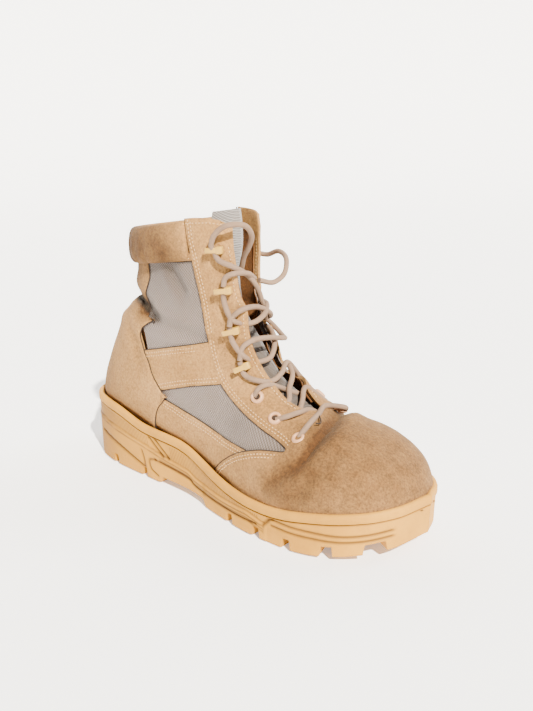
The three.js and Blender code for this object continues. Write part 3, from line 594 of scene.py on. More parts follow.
# puts a flat piece on the boot, rolls its border and turns its edge down
def layOnBoot(bm, placesOf, lift, edge=1.4, roll=0.45, border=0.9):
    flat = np.array([v.co[:2] for v in bm.verts])
    section, turn = placesOf(flat[:, 0], flat[:, 1])
    point, normal = surfaceAt(section, turn)
    height = lift + creaseField(point)
    for vertex, co in zip(bm.verts, toRow(point + normal * height[:, None])):
        vertex.co = co
    bmesh.ops.remove_doubles(bm, verts=bm.verts, dist=0.00025)
    bmesh.ops.recalc_face_normals(bm, faces=bm.faces)
    bm.normal_update()
    middle = Vector(toRow((120, 0, 60)))
    vote = sum(1 if f.normal.dot(f.calc_center_median() - middle) > 0 else -1 for f in bm.faces)
    if vote < 0:
        bmesh.ops.reverse_faces(bm, faces=bm.faces)
    if border:
        bmesh.ops.inset_region(bm, faces=bm.faces[:], thickness=border / 1000, use_even_offset=True,
                               use_boundary=True)
    bm.normal_update()
    rim = [e for e in bm.edges if e.is_boundary]
    rimPoints = {v for e in rim for v in e.verts}
    for vertex in rimPoints:
        vertex.co -= vertex.normal * roll / 1000
    made = bmesh.ops.extrude_edge_only(bm, edges=rim)["geom"]
    skirt = {g for g in made if isinstance(g, bmesh.types.BMVert)}
    for vertex in skirt:
        partner = [e.other_vert(vertex) for e in vertex.link_edges if e.other_vert(vertex) not in skirt]
        vertex.co -= (partner[0] if partner else vertex).normal * edge / 1000
    wearAndShade = bm.verts.layers.float.new("wearAndShade")
    places = np.array([v.co for v in bm.verts]) * 1000 - bootShift
    for vertex, amount in zip(bm.verts, wearAndShadeField(places)):
        # painted shadow: the turned-down edge and the rim of the border are darkened
        if vertex in skirt:
            amount += panelValues["skirtShade"]
        elif vertex in rimPoints and border:
            amount += panelValues["rimShade"]
        vertex[wearAndShade] = amount


# an outline given as seen from one side
def sidePanel(name, outline, side, lift, finish, slotName, **options):
    bm = flatPolygon(outline, (panelValues["cell"], panelValues["cell"]))
    layOnBoot(bm, lambda x, z: locate(x, z, side), lift, **options)
    addPiece(name, bm, [finish])


# an outline given as section and turn
def wrapPanel(name, outline, lift, finish, slotName, cells=(0.16, 0.02), nodes=(), **options):
    bm = flatPolygon(outline, cells)
    layOnBoot(bm, lambda section, turn: (section, turn), lift, **options)
    addPiece(name, bm, [finish], nodes)


soleOutline = [
    # x, lateral, medial
    (0, 1.9, 2), (3, 12.8, 13), (10, 23.7, 24), (25, 33.6, 34), (50, 39, 38.5), (90, 41.3, 37),
    (130, 43.4, 35.5), (170, 52, 40), (205, 57.6, 47), (235, 58.3, 51), (262, 52.6, 50), (284, 40.4, 41),
    (298, 21.7, 26.2), (305, -5.8, 6.2),
]
soleHeights = [
    # x, rim top, ground
    (0, 53, 0), (22, 53.5, 0), (45, 52, 0), (85, 43.5, 0), (120, 42, 0), (150, 35.5, 0), (185, 28.2, 0),
    (215, 26.3, 0), (250, 30.5, 1), (280, 34.5, 5), (305, 37.5, 10),
]
throatWidths = [
    # section, lateral, medial
    (7, 2, 1.5), (7.4, 10, 3.5), (8, 14, 5.5), (9, 15.5, 11), (10, 16.2, 19), (11, 17, 25),
    (12, 17.8, 28.5), (14, 19.5, 30.5), (16, 20, 30.25), (18, 20, 29.75), (20, 21.5, 28.75),
    (22, 23, 29.75), (24, 24, 30.75), (26, 25, 28),
]
outlines = {
    "facingRear": [(133.2, 203.5), (134.9, 189.2), (138.2, 177), (141.3, 160.9), (145.2, 138.3),
                   (149.6, 110.3), (158.3, 92.1), (175.2, 78.3), (193.7, 70.4), (209, 64.8),
                   (222.6, 59.9)],
    "vampRear": [(222.6, 58.3), (220.1, 58.0), (204, 56.6), (189.6, 52), (179.7, 46.6), (169.4, 38.6),
                 (154.8, 25.1)],
    "strapTop": [(86, 103), (104, 107.6), (120.4, 112), (147, 118.9), (153, 120)],
    "strapBottom": [(100, 74.5), (105.7, 76.3), (133, 84.6), (158.3, 90.5), (164, 91.6)],
    "foxingTop": [(104, 70), (107.8, 68.5), (147, 60.8), (170, 55.7), (193.4, 54.1), (200, 54)],
    "counter": [(97.5, 128.2), (91, 123.5), (85.4, 118.8), (83.1, 112.6), (86.6, 104), (91.2, 95.3),
                (96.9, 83.7), (106, 73), (108, 71.5), (104.5, 66.5), (99.2, 60.7), (95.2, 53), (89.9, 40)],
    "stayFront": [(93.3, 171.5), (94.2, 163), (93.6, 157.5), (90, 151), (87, 145), (87.3, 141),
                  (88.5, 137), (90, 128)],
}


# the turn on top of the boot at a width from its middle line
def turnAtWidth(section, side, width):
    row = lastRow(section)
    half = (row["lateral"] + row["mid"]) if side < 0 else (row["medial"] - row["mid"])
    power = (row["high"] if side < 0 else row["inner"]) / 2
    sine = np.minimum(width / half, 1) ** power
    return side * (1 - np.arcsin(sine) / np.pi)


def throatTurn(section, side):
    return turnAtWidth(section, side, smoothColumn(throatWidths, 1 if side < 0 else 2, section))


def sideLocate(points, side):
    return locate([p[0] for p in points], [p[1] for p in points], side)


def overTop(turn):
    return turn if turn > 0 else turn + 2


# a run of side points as (section, turn over the top) pairs
def overTopRun(points, side):
    return [(float(s), overTop(float(t))) for s, t in zip(*sideLocate(points, side))]


# the turn at which a section passes below the sole's rim
def rimTurn(section, side, below=4):
    turns = np.linspace(0.02, 0.98, 200) * side
    points = surfaceAt(np.full(200, section), turns)[0]
    rim = smoothColumn(soleHeights, 1, points[:, 0]) - below
    above = np.nonzero(points[:, 2] > rim)[0]
    return float(turns[above[0]]) if len(above) else 0.3 * side


upperValues = {
    "liningLift": -0.8, "fabricLift": 1.2, "strapLift": 2.5, "foxingLift": 2.4, "facingLift": 2.9,
    "counterLift": 3.9, "stayLift": 2.3, "hemLift": 2.5,
}
# the seams of the inner side stand further back than those of the outer side
setBacks = {"facing": 21, "facingLow": 70, "facingRun": 130, "hem": 18}


def facingLine(points, side):
    if side < 0:
        return points
    shifted = []
    for x, z in points:
        t = min(max((z - setBacks["facingLow"]) / setBacks["facingRun"], 0), 1)
        shifted.append((x - setBacks["facing"] * t * t * (3 - 2 * t), z))
    return shifted


def hemLine(points, side):
    return points if side < 0 else [(x - setBacks["hem"], z) for x, z in points]


def makeFacing():
    lateralRear = overTopRun(smoothLine(outlines["facingRear"], 6), -1)
    lateralRear += overTopRun(smoothLine(outlines["vampRear"], 5), -1)
    medialRear = overTopRun(smoothLine(facingLine(outlines["facingRear"], 1), 6), 1)
    medialRear += overTopRun(smoothLine(outlines["vampRear"], 5), 1)
    outline = lateralRear
    for section in np.arange(lateralRear[-1][0] - 0.3, 0, -0.35):
        outline.append((float(section), overTop(rimTurn(section, -1))))
    outline += [(0.02, 1.5), (0.02, 0.5)]
    for section in np.arange(0.4, medialRear[-1][0] - 0.2, 0.35):
        outline.append((float(section), rimTurn(section, 1)))
    outline += medialRear[::-1]
    outline += overTopRun([(112.5, 202.5), (122, 203.5), (131, 203), (135.5, 200.5)], 1)[1:]
    sections = np.arange(25.1, 7.0, -0.25)
    outline += [(float(s), float(throatTurn(s, 1))) for s in sections]
    sections = sections[sections < 24.5]
    outline += [(6.85, 0.995), (6.85, 1.015)]
    outline += [(float(s), overTop(float(throatTurn(s, -1)))) for s in sections[::-1]]
    outline += overTopRun([(163.5, 198.5), (161, 201), (156.5, 203.3), (149, 204.6), (140, 204.4)], -1)
    wrapPanel("vampAndFacings", outline, upperValues["facingLift"], "suede", "suede",
              nodes=["upper"], edge=2.6)


def makeSidePanels():
    fabric = [(70, 126), (80, 178), (140, 181), (147, 150), (153, 112), (163, 94), (179, 80), (212, 66),
              (228, 60), (222, 56), (196, 50), (150, 56), (100, 62), (92, 96), (84, 126)]
    strap = outlines["strapTop"] + outlines["strapBottom"][::-1]
    foxing = outlines["foxingTop"] + [(197, 40), (190, 24), (150, 24), (120, 32), (86, 36), (92, 55)]
    hem = [(62, 168.5), (76, 169), (92.4, 169.6), (113.7, 172.4), (141, 175.7), (141, 181), (113, 178),
           (90, 176), (62, 175)]
    hems = {-1: hem, 1: hemLine([(x, z) for x, z in hem if x > 80], 1)}
    for side, label in ((-1, "Lateral"), (1, "Medial")):
        sidePanel("fabricPanel" + label, facingLine(fabric, side), side, upperValues["fabricLift"],
                  "fabric", "lining", border=0, roll=0, edge=1)
        sidePanel("collarHem" + label, hems[side], side, upperValues["hemLift"], "suede", "suede",
                  edge=1.2)
        sidePanel("strap" + label, strap, side, upperValues["strapLift"], "suede", "suede", edge=1.4)
        sidePanel("foxing" + label, foxing, side, upperValues["foxingLift"], "suede", "suede", edge=1.3)


# both halves of an outline that runs round the back, from lateral round to medial
def roundBack(points):
    lateral, medial = ([(float(s), float(t)) for s, t in zip(*sideLocate(points, side))]
                       for side in (-1, 1))
    return lateral, medial[::-1]


def makeCounter():
    lateral, medial = roundBack(smoothLine(outlines["counter"], 4))
    low = np.arange(lateral[-1][0] + 0.3, 15.2, 0.35)
    outline = lateral + [(float(s), rimTurn(s, -1)) for s in low]
    outline += [(15.35, -0.12), (15.4, 0), (15.35, 0.12)]
    outline += [(float(s), rimTurn(s, 1)) for s in low[::-1]] + medial
    outline += [(21.55, 0.30), (21.75, 0.22), (21.8, 0.1), (21.75, 0), (21.8, -0.1), (21.75, -0.22),
                (21.55, -0.30)]
    wrapPanel("heelCounter", outline, upperValues["counterLift"], "suede", "suede", (0.2, 0.02),
              ["heel_counter"], edge=3.2, roll=0.8)


def makeBackstay():
    lateral, medial = roundBack(smoothLine(outlines["stayFront"], 4))
    outline = lateral + [(20.6, -0.1), (20.6, 0.1)] + medial
    wrapPanel("backstay", outline, upperValues["stayLift"], "suede", "suede", (0.2, 0.02), edge=1.2)


def makeLining():
    sections = np.arange(7.6, 25.1, 0.4)
    lateral = [(float(s), float(throatTurn(s, -1))) for s in sections]
    medial = [(float(s), float(throatTurn(s, 1))) for s in sections[::-1]]
    outline = lateral + [(25.5, -0.55), (25.5, 0.45)] + medial
    wrapPanel("lining", outline, upperValues["liningLift"], "suedeInside", "lining", (0.25, 0.03),
              border=0, roll=0, edge=0.5)


collarValues = {
    "middle": 24.8, "halfSections": 0.82, "halfThickness": 6.4, "depth": 1.6, "lateralEnd": 0.582,
    "medialEnd": 0.5, "corner": 0.8, "along": 110, "around": 26, "gatherDepth": 0.7, "gathers": 17,
    "rise": 14, "fill": {"frames": 14, "pressure": 2.5, "cap": 0.0016},
}


def makeCollar():
    v = collarValues
    bm = bmesh.new()
    bmesh.ops.create_grid(bm, x_segments=v["along"], y_segments=v["around"], size=0.5)
    flat = np.array([vertex.co[:2] for vertex in bm.verts]) + 0.5
    along, around = flat[:, 0], flat[:, 1]
    turn = -v["lateralEnd"] + (v["lateralEnd"] + v["medialEnd"]) * along
    ends = np.clip(np.sin(np.pi * along), 0, 1)
    fullness = 0.5 + 0.5 * ends ** 0.45
    angle = -2 * np.pi * around
    c, s = np.cos(angle), np.sin(angle)
    up = np.sign(s) * np.abs(s) ** v["corner"] * v["halfSections"]
    out = np.sign(c) * np.abs(c) ** v["corner"] * v["halfThickness"] * fullness
    gather = np.sin(2 * np.pi * v["gathers"] * along + 2 * np.sin(9 * along)) * (1 - np.clip(s, -1, 1)) / 2
    out = out - v["gatherDepth"] * gather * (c > 0) * ends
    section = v["middle"] + up
    point, normal = surfaceAt(np.clip(section, 0, sectionCount), turn)
    above = np.clip(section - sectionCount, 0, None) * v["rise"]
    placed = point + normal * (v["depth"] * fullness + out)[:, None]
    placed[:, 2] += above
    for vertex, co in zip(bm.verts, toRow(placed)):
        vertex.co = co
    bmesh.ops.remove_doubles(bm, verts=bm.verts, dist=0.0001)
    bmesh.ops.holes_fill(bm, edges=[e for e in bm.edges if e.is_boundary])
    bmesh.ops.recalc_face_normals(bm, faces=bm.faces)
    wearAndShade = bm.verts.layers.float.new("wearAndShade")
    places = np.array([vertex.co for vertex in bm.verts]) * 1000 - bootShift
    for vertex, amount in zip(bm.verts, wearAndShadeField(places)):
        vertex[wearAndShade] = amount
    collar = addPiece("collar", bm, ["suede"], ["collar_pad"], 80)
    puffUp(collar, **v["fill"])


# fills the pad by cloth simulation, with the move of each point capped
def puffUp(piece, frames, pressure, cap):
    rest = np.array([vertex.co for vertex in piece.data.vertices])
    copy = piece.copy()
    copy.data = piece.data.copy()
    bpy.context.scene.collection.objects.link(copy)
    cloth = copy.modifiers.new("puff", "CLOTH")
    cloth.settings.use_pressure = True
    cloth.settings.uniform_pressure_force = pressure
    cloth.settings.effector_weights.gravity = 0
    cloth.settings.tension_stiffness = 30
    cloth.point_cache.frame_start = 1
    cloth.point_cache.frame_end = frames
    for step in range(1, frames + 1):
        bpy.context.scene.frame_set(step)
    evaluated = copy.evaluated_get(bpy.context.evaluated_depsgraph_get())
    moved = np.array([vertex.co for vertex in evaluated.data.vertices])
    bpy.context.scene.frame_set(1)
    bpy.data.objects.remove(copy)
    if moved.shape != rest.shape:
        print("collar left as modelled")
        return
    change = moved - rest
    size = np.linalg.norm(change, axis=1, keepdims=True)
    change *= np.minimum(1, cap / np.maximum(size, 1e-9))
    for vertex, co in zip(piece.data.vertices, rest + change):
        vertex.co = co
    piece.data.update()
    print("collar filled, moved %.2f mm on average" % (1000 * np.minimum(size, cap).mean()))


tongueRows = [
    # section, lateral, medial, back, drop
    (6.4, 20, 20, 0, 0), (8, 24, 20, 2, 2), (10, 25, 18, 8, 5), (12, 26, 15, 16, 6), (14, 27, 14, 24, 4),
    (18, 27, 12, 31, 0), (22, 28, 11, 28, 0), (24.5, 26, 10, 22, 0), (26, 20, 9, 19, 0),
]
tongueValues = {
    "start": 6.4, "run": 19.25, "along": 60, "around": 22, "quilts": 5, "quiltDepth": 0.7, "sink": 3.4,
    "thickness": 0.0038, "rounding": 0.0012, "liningFrom": 22.5,
}


def makeTongue():
    v = tongueValues
    bm = bmesh.new()
    bmesh.ops.create_grid(bm, x_segments=v["along"], y_segments=v["around"], size=0.5)
    flat = np.array([vertex.co[:2] for vertex in bm.verts]) + 0.5
    section = v["start"] + v["run"] * flat[:, 0]
    medial = turnAtWidth(section, 1, smoothColumn(tongueRows, 2, section))
    lateral = turnAtWidth(section, -1, smoothColumn(tongueRows, 1, section))
    turn = medial + (2 + lateral - medial) * flat[:, 1]
    point, normal = surfaceAt(section, turn)
    quilt = v["quiltDepth"] * np.abs(np.sin(np.pi * v["quilts"] * flat[:, 0])) ** 0.4
    point = point + normal * (-v["sink"] + quilt)[:, None]
    point[:, 0] -= smoothColumn(tongueRows, 3, section)
    point[:, 2] -= smoothColumn(tongueRows, 4, section)
    for vertex, co in zip(bm.verts, toRow(point)):
        vertex.co = co
    bmesh.ops.recalc_face_normals(bm, faces=bm.faces)
    bm.normal_update()
    if sum(f.normal.x for f in bm.faces) < 0:
        bmesh.ops.reverse_faces(bm, faces=bm.faces)
    # painted shade: the tongue is darkened below section liningFrom, deep in the throat
    wearAndShade = bm.verts.layers.float.new("wearAndShade")
    for vertex, height in zip(bm.verts, section):
        vertex[wearAndShade] = min(max((v["liningFrom"] - height) / 3, 0), 1)
    tongue = addPiece("tonguePad", bm, ["tongueFabric"], ["tongue"])
    thick = tongue.modifiers.new("thickness", "SOLIDIFY")
    thick.thickness = v["thickness"]
    thick.offset = -1
    rounded = tongue.modifiers.new("rounding", "BEVEL")
    rounded.width = v["rounding"]
    rounded.segments = 2


makeFacing()
makeSidePanels()
makeCounter()
makeBackstay()
makeLining()
makeCollar()
makeTongue()
print("upper made")


stitchValues = {
    "length": 1.9, "width": 0.85, "height": 0.6, "pitch": 2.6, "samples": 400,
    # how far from each edge a first row lies
    "facingAside": 2.6, "strapAside": 2.2, "foxingAside": 2.4, "throatAside": 3.2,
}


def stitchTemplate():
    size = [stitchValues[key] for key in ("length", "width", "height")]
    bm = bmesh.new()
    bmesh.ops.create_icosphere(bm, subdivisions=1, radius=0.5)
    bmesh.ops.scale(bm, vec=size, verts=bm.verts)
    verts = np.array([v.co for v in bm.verts])
    faces = [[v.index for v in f.verts] for f in bm.faces]
    bm.free()
    return verts, faces


stitchFrames = []


# rows along points given as (section, turn), the first one set aside from the line by a distance
def stitchRow(places, lift, aside, rows=1, gap=2.2):
    section = np.array([p[0] for p in places])
    turn = np.array([p[1] for p in places])
    runs = np.linspace(0, len(section) - 1, stitchValues["samples"])
    section = np.interp(runs, np.arange(len(section)), section)
    turn = np.interp(runs, np.arange(len(turn)), turn)
    point, normal = surfaceAt(section, turn)
    point = point + normal * (lift + creaseField(point))[:, None]
    tangent = np.gradient(point, axis=0)
    tangent /= np.linalg.norm(tangent, axis=1, keepdims=True) + 1e-9
    across = np.cross(normal, tangent)
    for k in range(rows):
        line = point + across * (aside + math.copysign(gap * k, aside))
        length = np.concatenate([[0], np.cumsum(np.linalg.norm(np.diff(line, axis=0), axis=1))])
        for at in np.arange(1.5 + 1.5 * (k % 2), length[-1] - 1, stitchValues["pitch"]):
            where = np.stack([np.interp(at, length, line[:, i]) for i in range(3)])
            along = np.stack([np.interp(at, length, tangent[:, i]) for i in range(3)])
            up = np.stack([np.interp(at, length, normal[:, i]) for i in range(3)])
            stitchFrames.append((where, along, up))


def sideRun(points, side):
    return list(zip(*sideLocate(points, side)))


def makeStitches():
    v = upperValues
    aside = stitchValues
    for side in (-1, 1):
        seam = sideRun(smoothLine(facingLine(outlines["facingRear"], side), 4), side)
        stitchRow(seam, v["facingLift"], -aside["facingAside"] * side, 2)
        vamp = sideRun(smoothLine(outlines["vampRear"][1:], 4), side)
        stitchRow(vamp, v["facingLift"], -aside["facingAside"] * side, 2)
        strapTop = sideRun(outlines["strapTop"][:-1], side)
        stitchRow(strapTop, v["strapLift"], aside["strapAside"] * side, 2, 2.4)
        strapLow = sideRun(outlines["strapBottom"][:-1], side)
        stitchRow(strapLow, v["strapLift"], -aside["strapAside"] * side, 2, 2.4)
        hemSeam = hemLine([(80, 170.8), (92.4, 171.2), (113.7, 174), (139, 177.2)], side)
        stitchRow(sideRun(hemSeam, side), v["hemLift"], 0.01)
        foxing = sideRun(outlines["foxingTop"][:-1], side)
        stitchRow(foxing, v["foxingLift"], aside["foxingAside"] * side, 2, 2.4)
        sections = np.arange(7.6, 24.8, 0.5)
        edge = [(s, float(throatTurn(s, side))) for s in sections]
        stitchRow(edge, v["facingLift"], -aside["throatAside"] * side)
        if side < 0:
            top = [(126, 198), (135, 200.3), (150, 201.3), (158, 200.3), (162, 197.5)]
            stitchRow(sideRun(top, side), v["facingLift"], 0.1)
    verts, faces = stitchTemplate()
    allVerts, allFaces = [], []
    for k, (where, along, up) in enumerate(stitchFrames):
        across = np.cross(up, along)
        basis = np.stack([along, across, up])
        allVerts.append(toRow(verts @ basis + where))
        allFaces += [[i + k * len(verts) for i in face] for face in faces]
    mesh = bpy.data.meshes.new("stitches")
    mesh.from_pydata(np.concatenate(allVerts).tolist(), [], allFaces)
    mesh.materials.append(finishes["thread"])
    smoothShade(mesh, 180)
    stitches = newObject("stitches", mesh)
    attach(stitches, "root")
    print("stitches made:", len(stitchFrames))


makeStitches()


holdRows = {
    # seen from the side on the lateral facing, highest first
    "eyelet": [(187.3, 85), (204, 73.8), (226.5, 65.3)],
    "hook": [(157.6, 184), (162.2, 157.5), (167, 130), (175, 105)],
}
holdValues = {"behindEdge": 12.5, "height": 3.0, "hookTilt": -5}     # millimetres, degrees


# a hold on the inner side, at the same section as its partner
def medialPlace(section):
    turn = float(throatTurn(section, 1))
    edge = surfaceAt(section, turn)[0]
    while np.linalg.norm(surfaceAt(section, turn)[0] - edge) < holdValues["behindEdge"]:
        turn -= 0.004
    return section, turn


# local x runs away from the throat, y out of the surface, z along the throat's edge
def placeFrame(section, turn):
    point, normal = surfaceAt(section, turn)
    back, _ = surfaceAt(section, turn - 0.02 * np.sign(turn))
    away = back - point
    away -= normal * (away @ normal)
    away /= np.linalg.norm(away)
    up = np.cross(away, normal)
    matrix = Matrix(np.stack([away, normal, up], 1).tolist()).to_4x4()
    matrix.translation = Vector(toRow(point + normal * holdValues["height"]))
    return matrix


def holds(kind):
    for index, (x, z) in enumerate(holdRows[kind]):
        section, turn = locate(x, z, -1)
        yield "lateral_%d" % (index + 1), float(section), float(turn)
        section, turn = medialPlace(float(section))
        yield "medial_%d" % (index + 1), section, turn


def finishPlaced(bm, matrix):
    bmesh.ops.scale(bm, vec=(0.001, 0.001, 0.001), verts=bm.verts)
    bmesh.ops.transform(bm, matrix=matrix, verts=bm.verts)
    bmesh.ops.recalc_face_normals(bm, faces=bm.faces)


def addBlock(bm, low, high, rounding):
    made = bmesh.ops.create_cube(bm, size=1)["verts"]
    size = [h - l for l, h in zip(low, high)]
    bmesh.ops.scale(bm, vec=size, verts=made)
    bmesh.ops.translate(bm, vec=[(l + h) / 2 for l, h in zip(low, high)], verts=made)
    edges = list({e for v in made for e in v.link_edges})
    bmesh.ops.bevel(bm, geom=edges, offset=rounding, segments=3, profile=0.5, affect="EDGES", material=-1)


hookValues = {
    # low corner, high corner, rounding
    "foot": ((-3.0, 0, -2.5), (1.5, 5.9, 2.5), 0.8),
    "tongue": ((0.3, 4.5, -1.8), (8.6, 5.9, 1.8), 0.6),
    "lip": ((7.3, 3.5, -1.8), (8.8, 5.7, 1.8), 0.6),
}


def makeHooks():
    for label, section, turn in holds("hook"):
        bm = bmesh.new()
        for low, high, rounding in hookValues.values():
            addBlock(bm, low, high, rounding)
        tilt = Matrix.Rotation(math.radians(holdValues["hookTilt"]), 4, "Y")
        finishPlaced(bm, placeFrame(section, turn) @ tilt)
        addPiece("hook_" + label + "_piece", bm, ["hook"], ["hook_" + label])


eyeletValues = {
    # radius and height of the ring's section, and of the dark disc of painted shade in its hole
    "ring": [(2.1, -1.6), (2.2, 1.0), (2.7, 1.7), (3.4, 1.75), (4.1, 1.3), (4.6, 0.5), (4.7, -0.2)],
    "hole": (2.2, 0.15), "steps": 28,
}


def makeEyelets():
    v = eyeletValues
    holeRadius, holeHeight = v["hole"]
    for label, section, turn in holds("eyelet"):
        bm = bmesh.new()
        verts = [bm.verts.new((r, y, 0)) for r, y in v["ring"]]
        edges = [bm.edges.new(pair) for pair in zip(verts, verts[1:])]
        bmesh.ops.spin(bm, geom=verts + edges, axis=(0, 1, 0), cent=(0, 0, 0), angle=2 * math.pi,
                       steps=v["steps"], use_merge=True)
        bmesh.ops.remove_doubles(bm, verts=bm.verts, dist=0.001)
        disc = bmesh.ops.create_circle(bm, cap_ends=True, segments=24, radius=holeRadius)["verts"]
        bmesh.ops.rotate(bm, cent=(0, 0, 0), matrix=Matrix.Rotation(math.pi / 2, 3, "X"), verts=disc)
        bmesh.ops.translate(bm, vec=(0, holeHeight, 0), verts=disc)
        for face in {f for vertex in disc for f in vertex.link_faces}:
            face.material_index = 1
        finishPlaced(bm, placeFrame(section, turn))
        addPiece("eyelet_" + label + "_ring", bm, ["eyelet", "hole"], ["eyelet_" + label], 70)


makeHooks()
makeEyelets()
print("hooks and eyelets made")


laceDiameter = 3.8
# each strand is laid from where it leaves a hold to where it goes in
laceStrands = {
    "bar": [(226, -31, 68), (229, -26, 75), (226, -10, 78), (222, 4, 79), (232, 12, 78), (228, 18, 73)],
    "lateral2": [(206, -30, 75), (213, -26, 78), (216, -18, 79), (216, -5, 77), (222, 4, 70)],
    "medial2": [(212, 18, 76), (202, 8, 87), (207, -3, 81), (212, -12, 78), (214, -19, 72)],
    "lateral1": [(186, -29, 87), (189, -27, 93), (192, -20, 94), (193, -7, 88), (194, 1, 84), (204, 14, 78)],
    "medial1": [(186, 26, 84), (181, 15, 98), (192, 5, 95), (197, -5, 88), (204, -15, 83), (196, -22, 78)],
    "hook4low": [(174, -30, 109), (178, -29, 100), (188, -25, 97), (190, -14, 95), (189, -3, 98),
                 (183, 11, 101), (184, 27, 84)],
    "hook4up": [(174, -30, 110), (175, -28, 119), (178, -20, 123), (177, -3, 121), (174, 17, 116),
                (163, 30, 113), (139, 41, 119), (127, 43, 116)],
    "hook3low": [(167, -32, 132), (169, -31, 122), (176, -28, 113), (176, -16, 106), (179, -4, 107),
                 (175, 6, 114), (162, 19, 118), (145, 32, 117), (131, 40, 108)],
    "hook3up": [(167, -32, 133), (168, -31, 139), (174, -26, 145), (171, -8, 143), (166, 11, 135),
                (153, 27, 127), (137, 37, 125), (124, 43, 146)],
    "hook2low": [(163, -33, 159), (163, -32, 148), (169, -30, 137), (172, -15, 133), (173, -3, 137),
                 (162, 13, 140), (140, 32, 137), (126, 42, 140)],
    "hook2up": [(163, -33, 160), (164, -32, 166), (169, -28, 169), (169, -15, 167), (166, -5, 162)],
    "hook1low": [(158, -36, 185), (161, -35, 178), (168, -30, 174), (167, -14, 166), (168, -4, 155),
                 (165, 5, 141), (153, 22, 127), (130, 42, 128)],
}
laceGroups = {
    "lace_bar": ["bar"],
    "lace_crossing_1": ["lateral2", "medial2"],
    "lace_crossing_2": ["lateral1", "medial1"],
    "lace_crossing_3": ["hook4low"],
    "lace_crossing_4": ["hook4up", "hook3low"],
    "lace_crossing_5": ["hook3up", "hook2low"],
    "lace_crossing_6": ["hook1low", "hook2up"],
}
laceEnds = {
    "lateral": [(158.5, -36, 183), (157.5, -38, 187), (160, -38.5, 193.5), (165, -37, 199),
                (171, -34.5, 201.8), (175.5, -25, 200.8), (174.5, -17, 193.5), (168.5, -13, 185),
                (162, -11, 177), (158, -9, 169)],
    "medial": [(128.5, 46, 168.5), (135, 47, 168.5), (147, 44.5, 172.5), (159.5, 38, 169.5),
               (166, 28, 160.5), (166.5, 15, 156), (163.5, 3, 159)],
}


# a round cord along the points, closed at both ends
def addCord(bm, points, radius, sides=14):
    line = resample(smoothLine(points, 12), 1.6)
    tangents = np.gradient(line, axis=0)
    tangents /= np.linalg.norm(tangents, axis=1, keepdims=True)
    up = np.array([0.31, 0.22, 0.92])        # any direction that no cord runs along
    rings = []
    for place, tangent in zip(line, tangents):
        up = up - tangent * (up @ tangent)
        up /= np.linalg.norm(up)
        side = np.cross(tangent, up)
        made = bmesh.ops.create_circle(bm, segments=sides, radius=radius / 1000)["verts"]
        basis = Matrix(np.stack([side, up, tangent], 1).tolist()).to_4x4()
        basis.translation = Vector(toRow(place))
        bmesh.ops.transform(bm, matrix=basis, verts=made)
        rings.append(made)
    for a, b in zip(rings, rings[1:]):
        for k in range(sides):
            n = (k + 1) % sides
            bm.faces.new((a[k], a[n], b[n], b[k]))
    bm.faces.new(rings[0][::-1])
    bm.faces.new(rings[-1])
    return line


def makeLace():
    for node, names in laceGroups.items():
        bm = bmesh.new()
        for name in names:
            addCord(bm, laceStrands[name], laceDiameter / 2)
        bmesh.ops.recalc_face_normals(bm, faces=bm.faces)
        addPiece(node + "_cord", bm, ["lace"], [node], 80)
    for side, points in laceEnds.items():
        bm = bmesh.new()
        line = addCord(bm, points, laceDiameter / 2)
        bmesh.ops.recalc_face_normals(bm, faces=bm.faces)
        piece = addPiece("laceEnd_" + side, bm, ["lace"], ["lace_end_" + side], 80)
        toRow(line[0]).tolist()
        toRow(line).tolist()


makeLace()
print("lace made")


seamShadowValues = {"radius": 0.5, "sides": 6}


# painted shadow: dark thin cords sunk in the seams, which show as the shadowed gaps between panels
def makeSeamShadows():
    v = upperValues
    bm = bmesh.new()
    for side in (-1, 1):
        hem = hemLine([(82, 168.9), (92.4, 169.2), (113.7, 172), (139, 175.2)], side)
        seams = [
            (facingLine(outlines["facingRear"], side), v["facingLift"] - 0.9),
            (outlines["vampRear"], v["facingLift"] - 0.5),
            (outlines["strapTop"][:-1], v["strapLift"] - 0.7),
            (outlines["strapBottom"][:-1], v["strapLift"] - 0.8),
            (outlines["foxingTop"][:-1], v["foxingLift"] - 0.8),
            (outlines["counter"], v["counterLift"] - 1.1),
            (outlines["stayFront"], v["stayLift"] - 0.6),
            (hem, v["hemLift"] - 0.7),
        ]
        for points, lift in seams:
            section, turn = np.array(sideRun(smoothLine(points, 5), side), float).T
            point, normal = surfaceAt(section, turn)
            addCord(bm, point + normal * (lift + creaseField(point))[:, None], seamShadowValues["radius"],
                    seamShadowValues["sides"])
    # the short slit in the vamp's fold, as a dark cord of painted shade
    slit = [(227.6, -11.3, 77.9), (232, -15.5, 77.2), (234.5, -19, 76.2), (232, -21, 76.3)]
    addCord(bm, slit, seamShadowValues["radius"], seamShadowValues["sides"])
    bmesh.ops.recalc_face_normals(bm, faces=bm.faces)
    addPiece("seamShadows", bm, ["hole"], (), 80)


makeSeamShadows()
print("seam gaps made")


soleValues = {
    "length": 305, "toeTip": 6, "stations": 440, "wallRows": 38, "bandHeight": 6.3,
    "wallTop": 8.1,       # the wall starts this far under the rim
    "lugTop": 8.2,        # the lugs' rows start this far above the ground line
    "wallShare": 0.75,    # share of the wall's rows above the lugs
    "tread": 16,          # how far in the tread's outer strip reaches
    "ridgeEnd": 219, "ridgeHeight": 0.9, "ridgeWidth": 1.3, "groovesEnd": 217, "grooveWidth": 0.65,
}
lugNotches = [
    # x, half width, height
    (45, 2.6, 7), (81.5, 2.6, 7), (183.5, 2.7, 7), (210, 2.7, 7), (235.5, 3, 7), (263.5, 3.6, 6.8),
    (289.5, 4.6, 6.8),
]
archValues = {"rear": 99, "front": 155, "rise": 5}
ridgeLine = [
    # the raised line along the side, which ends at the forefoot panel
    (0, 35.5), (25.6, 34.4), (76.6, 27.2), (104.6, 22.7), (133, 19.8), (141, 16.8), (175, 15),
    (201, 15.9), (217, 12.2),
]
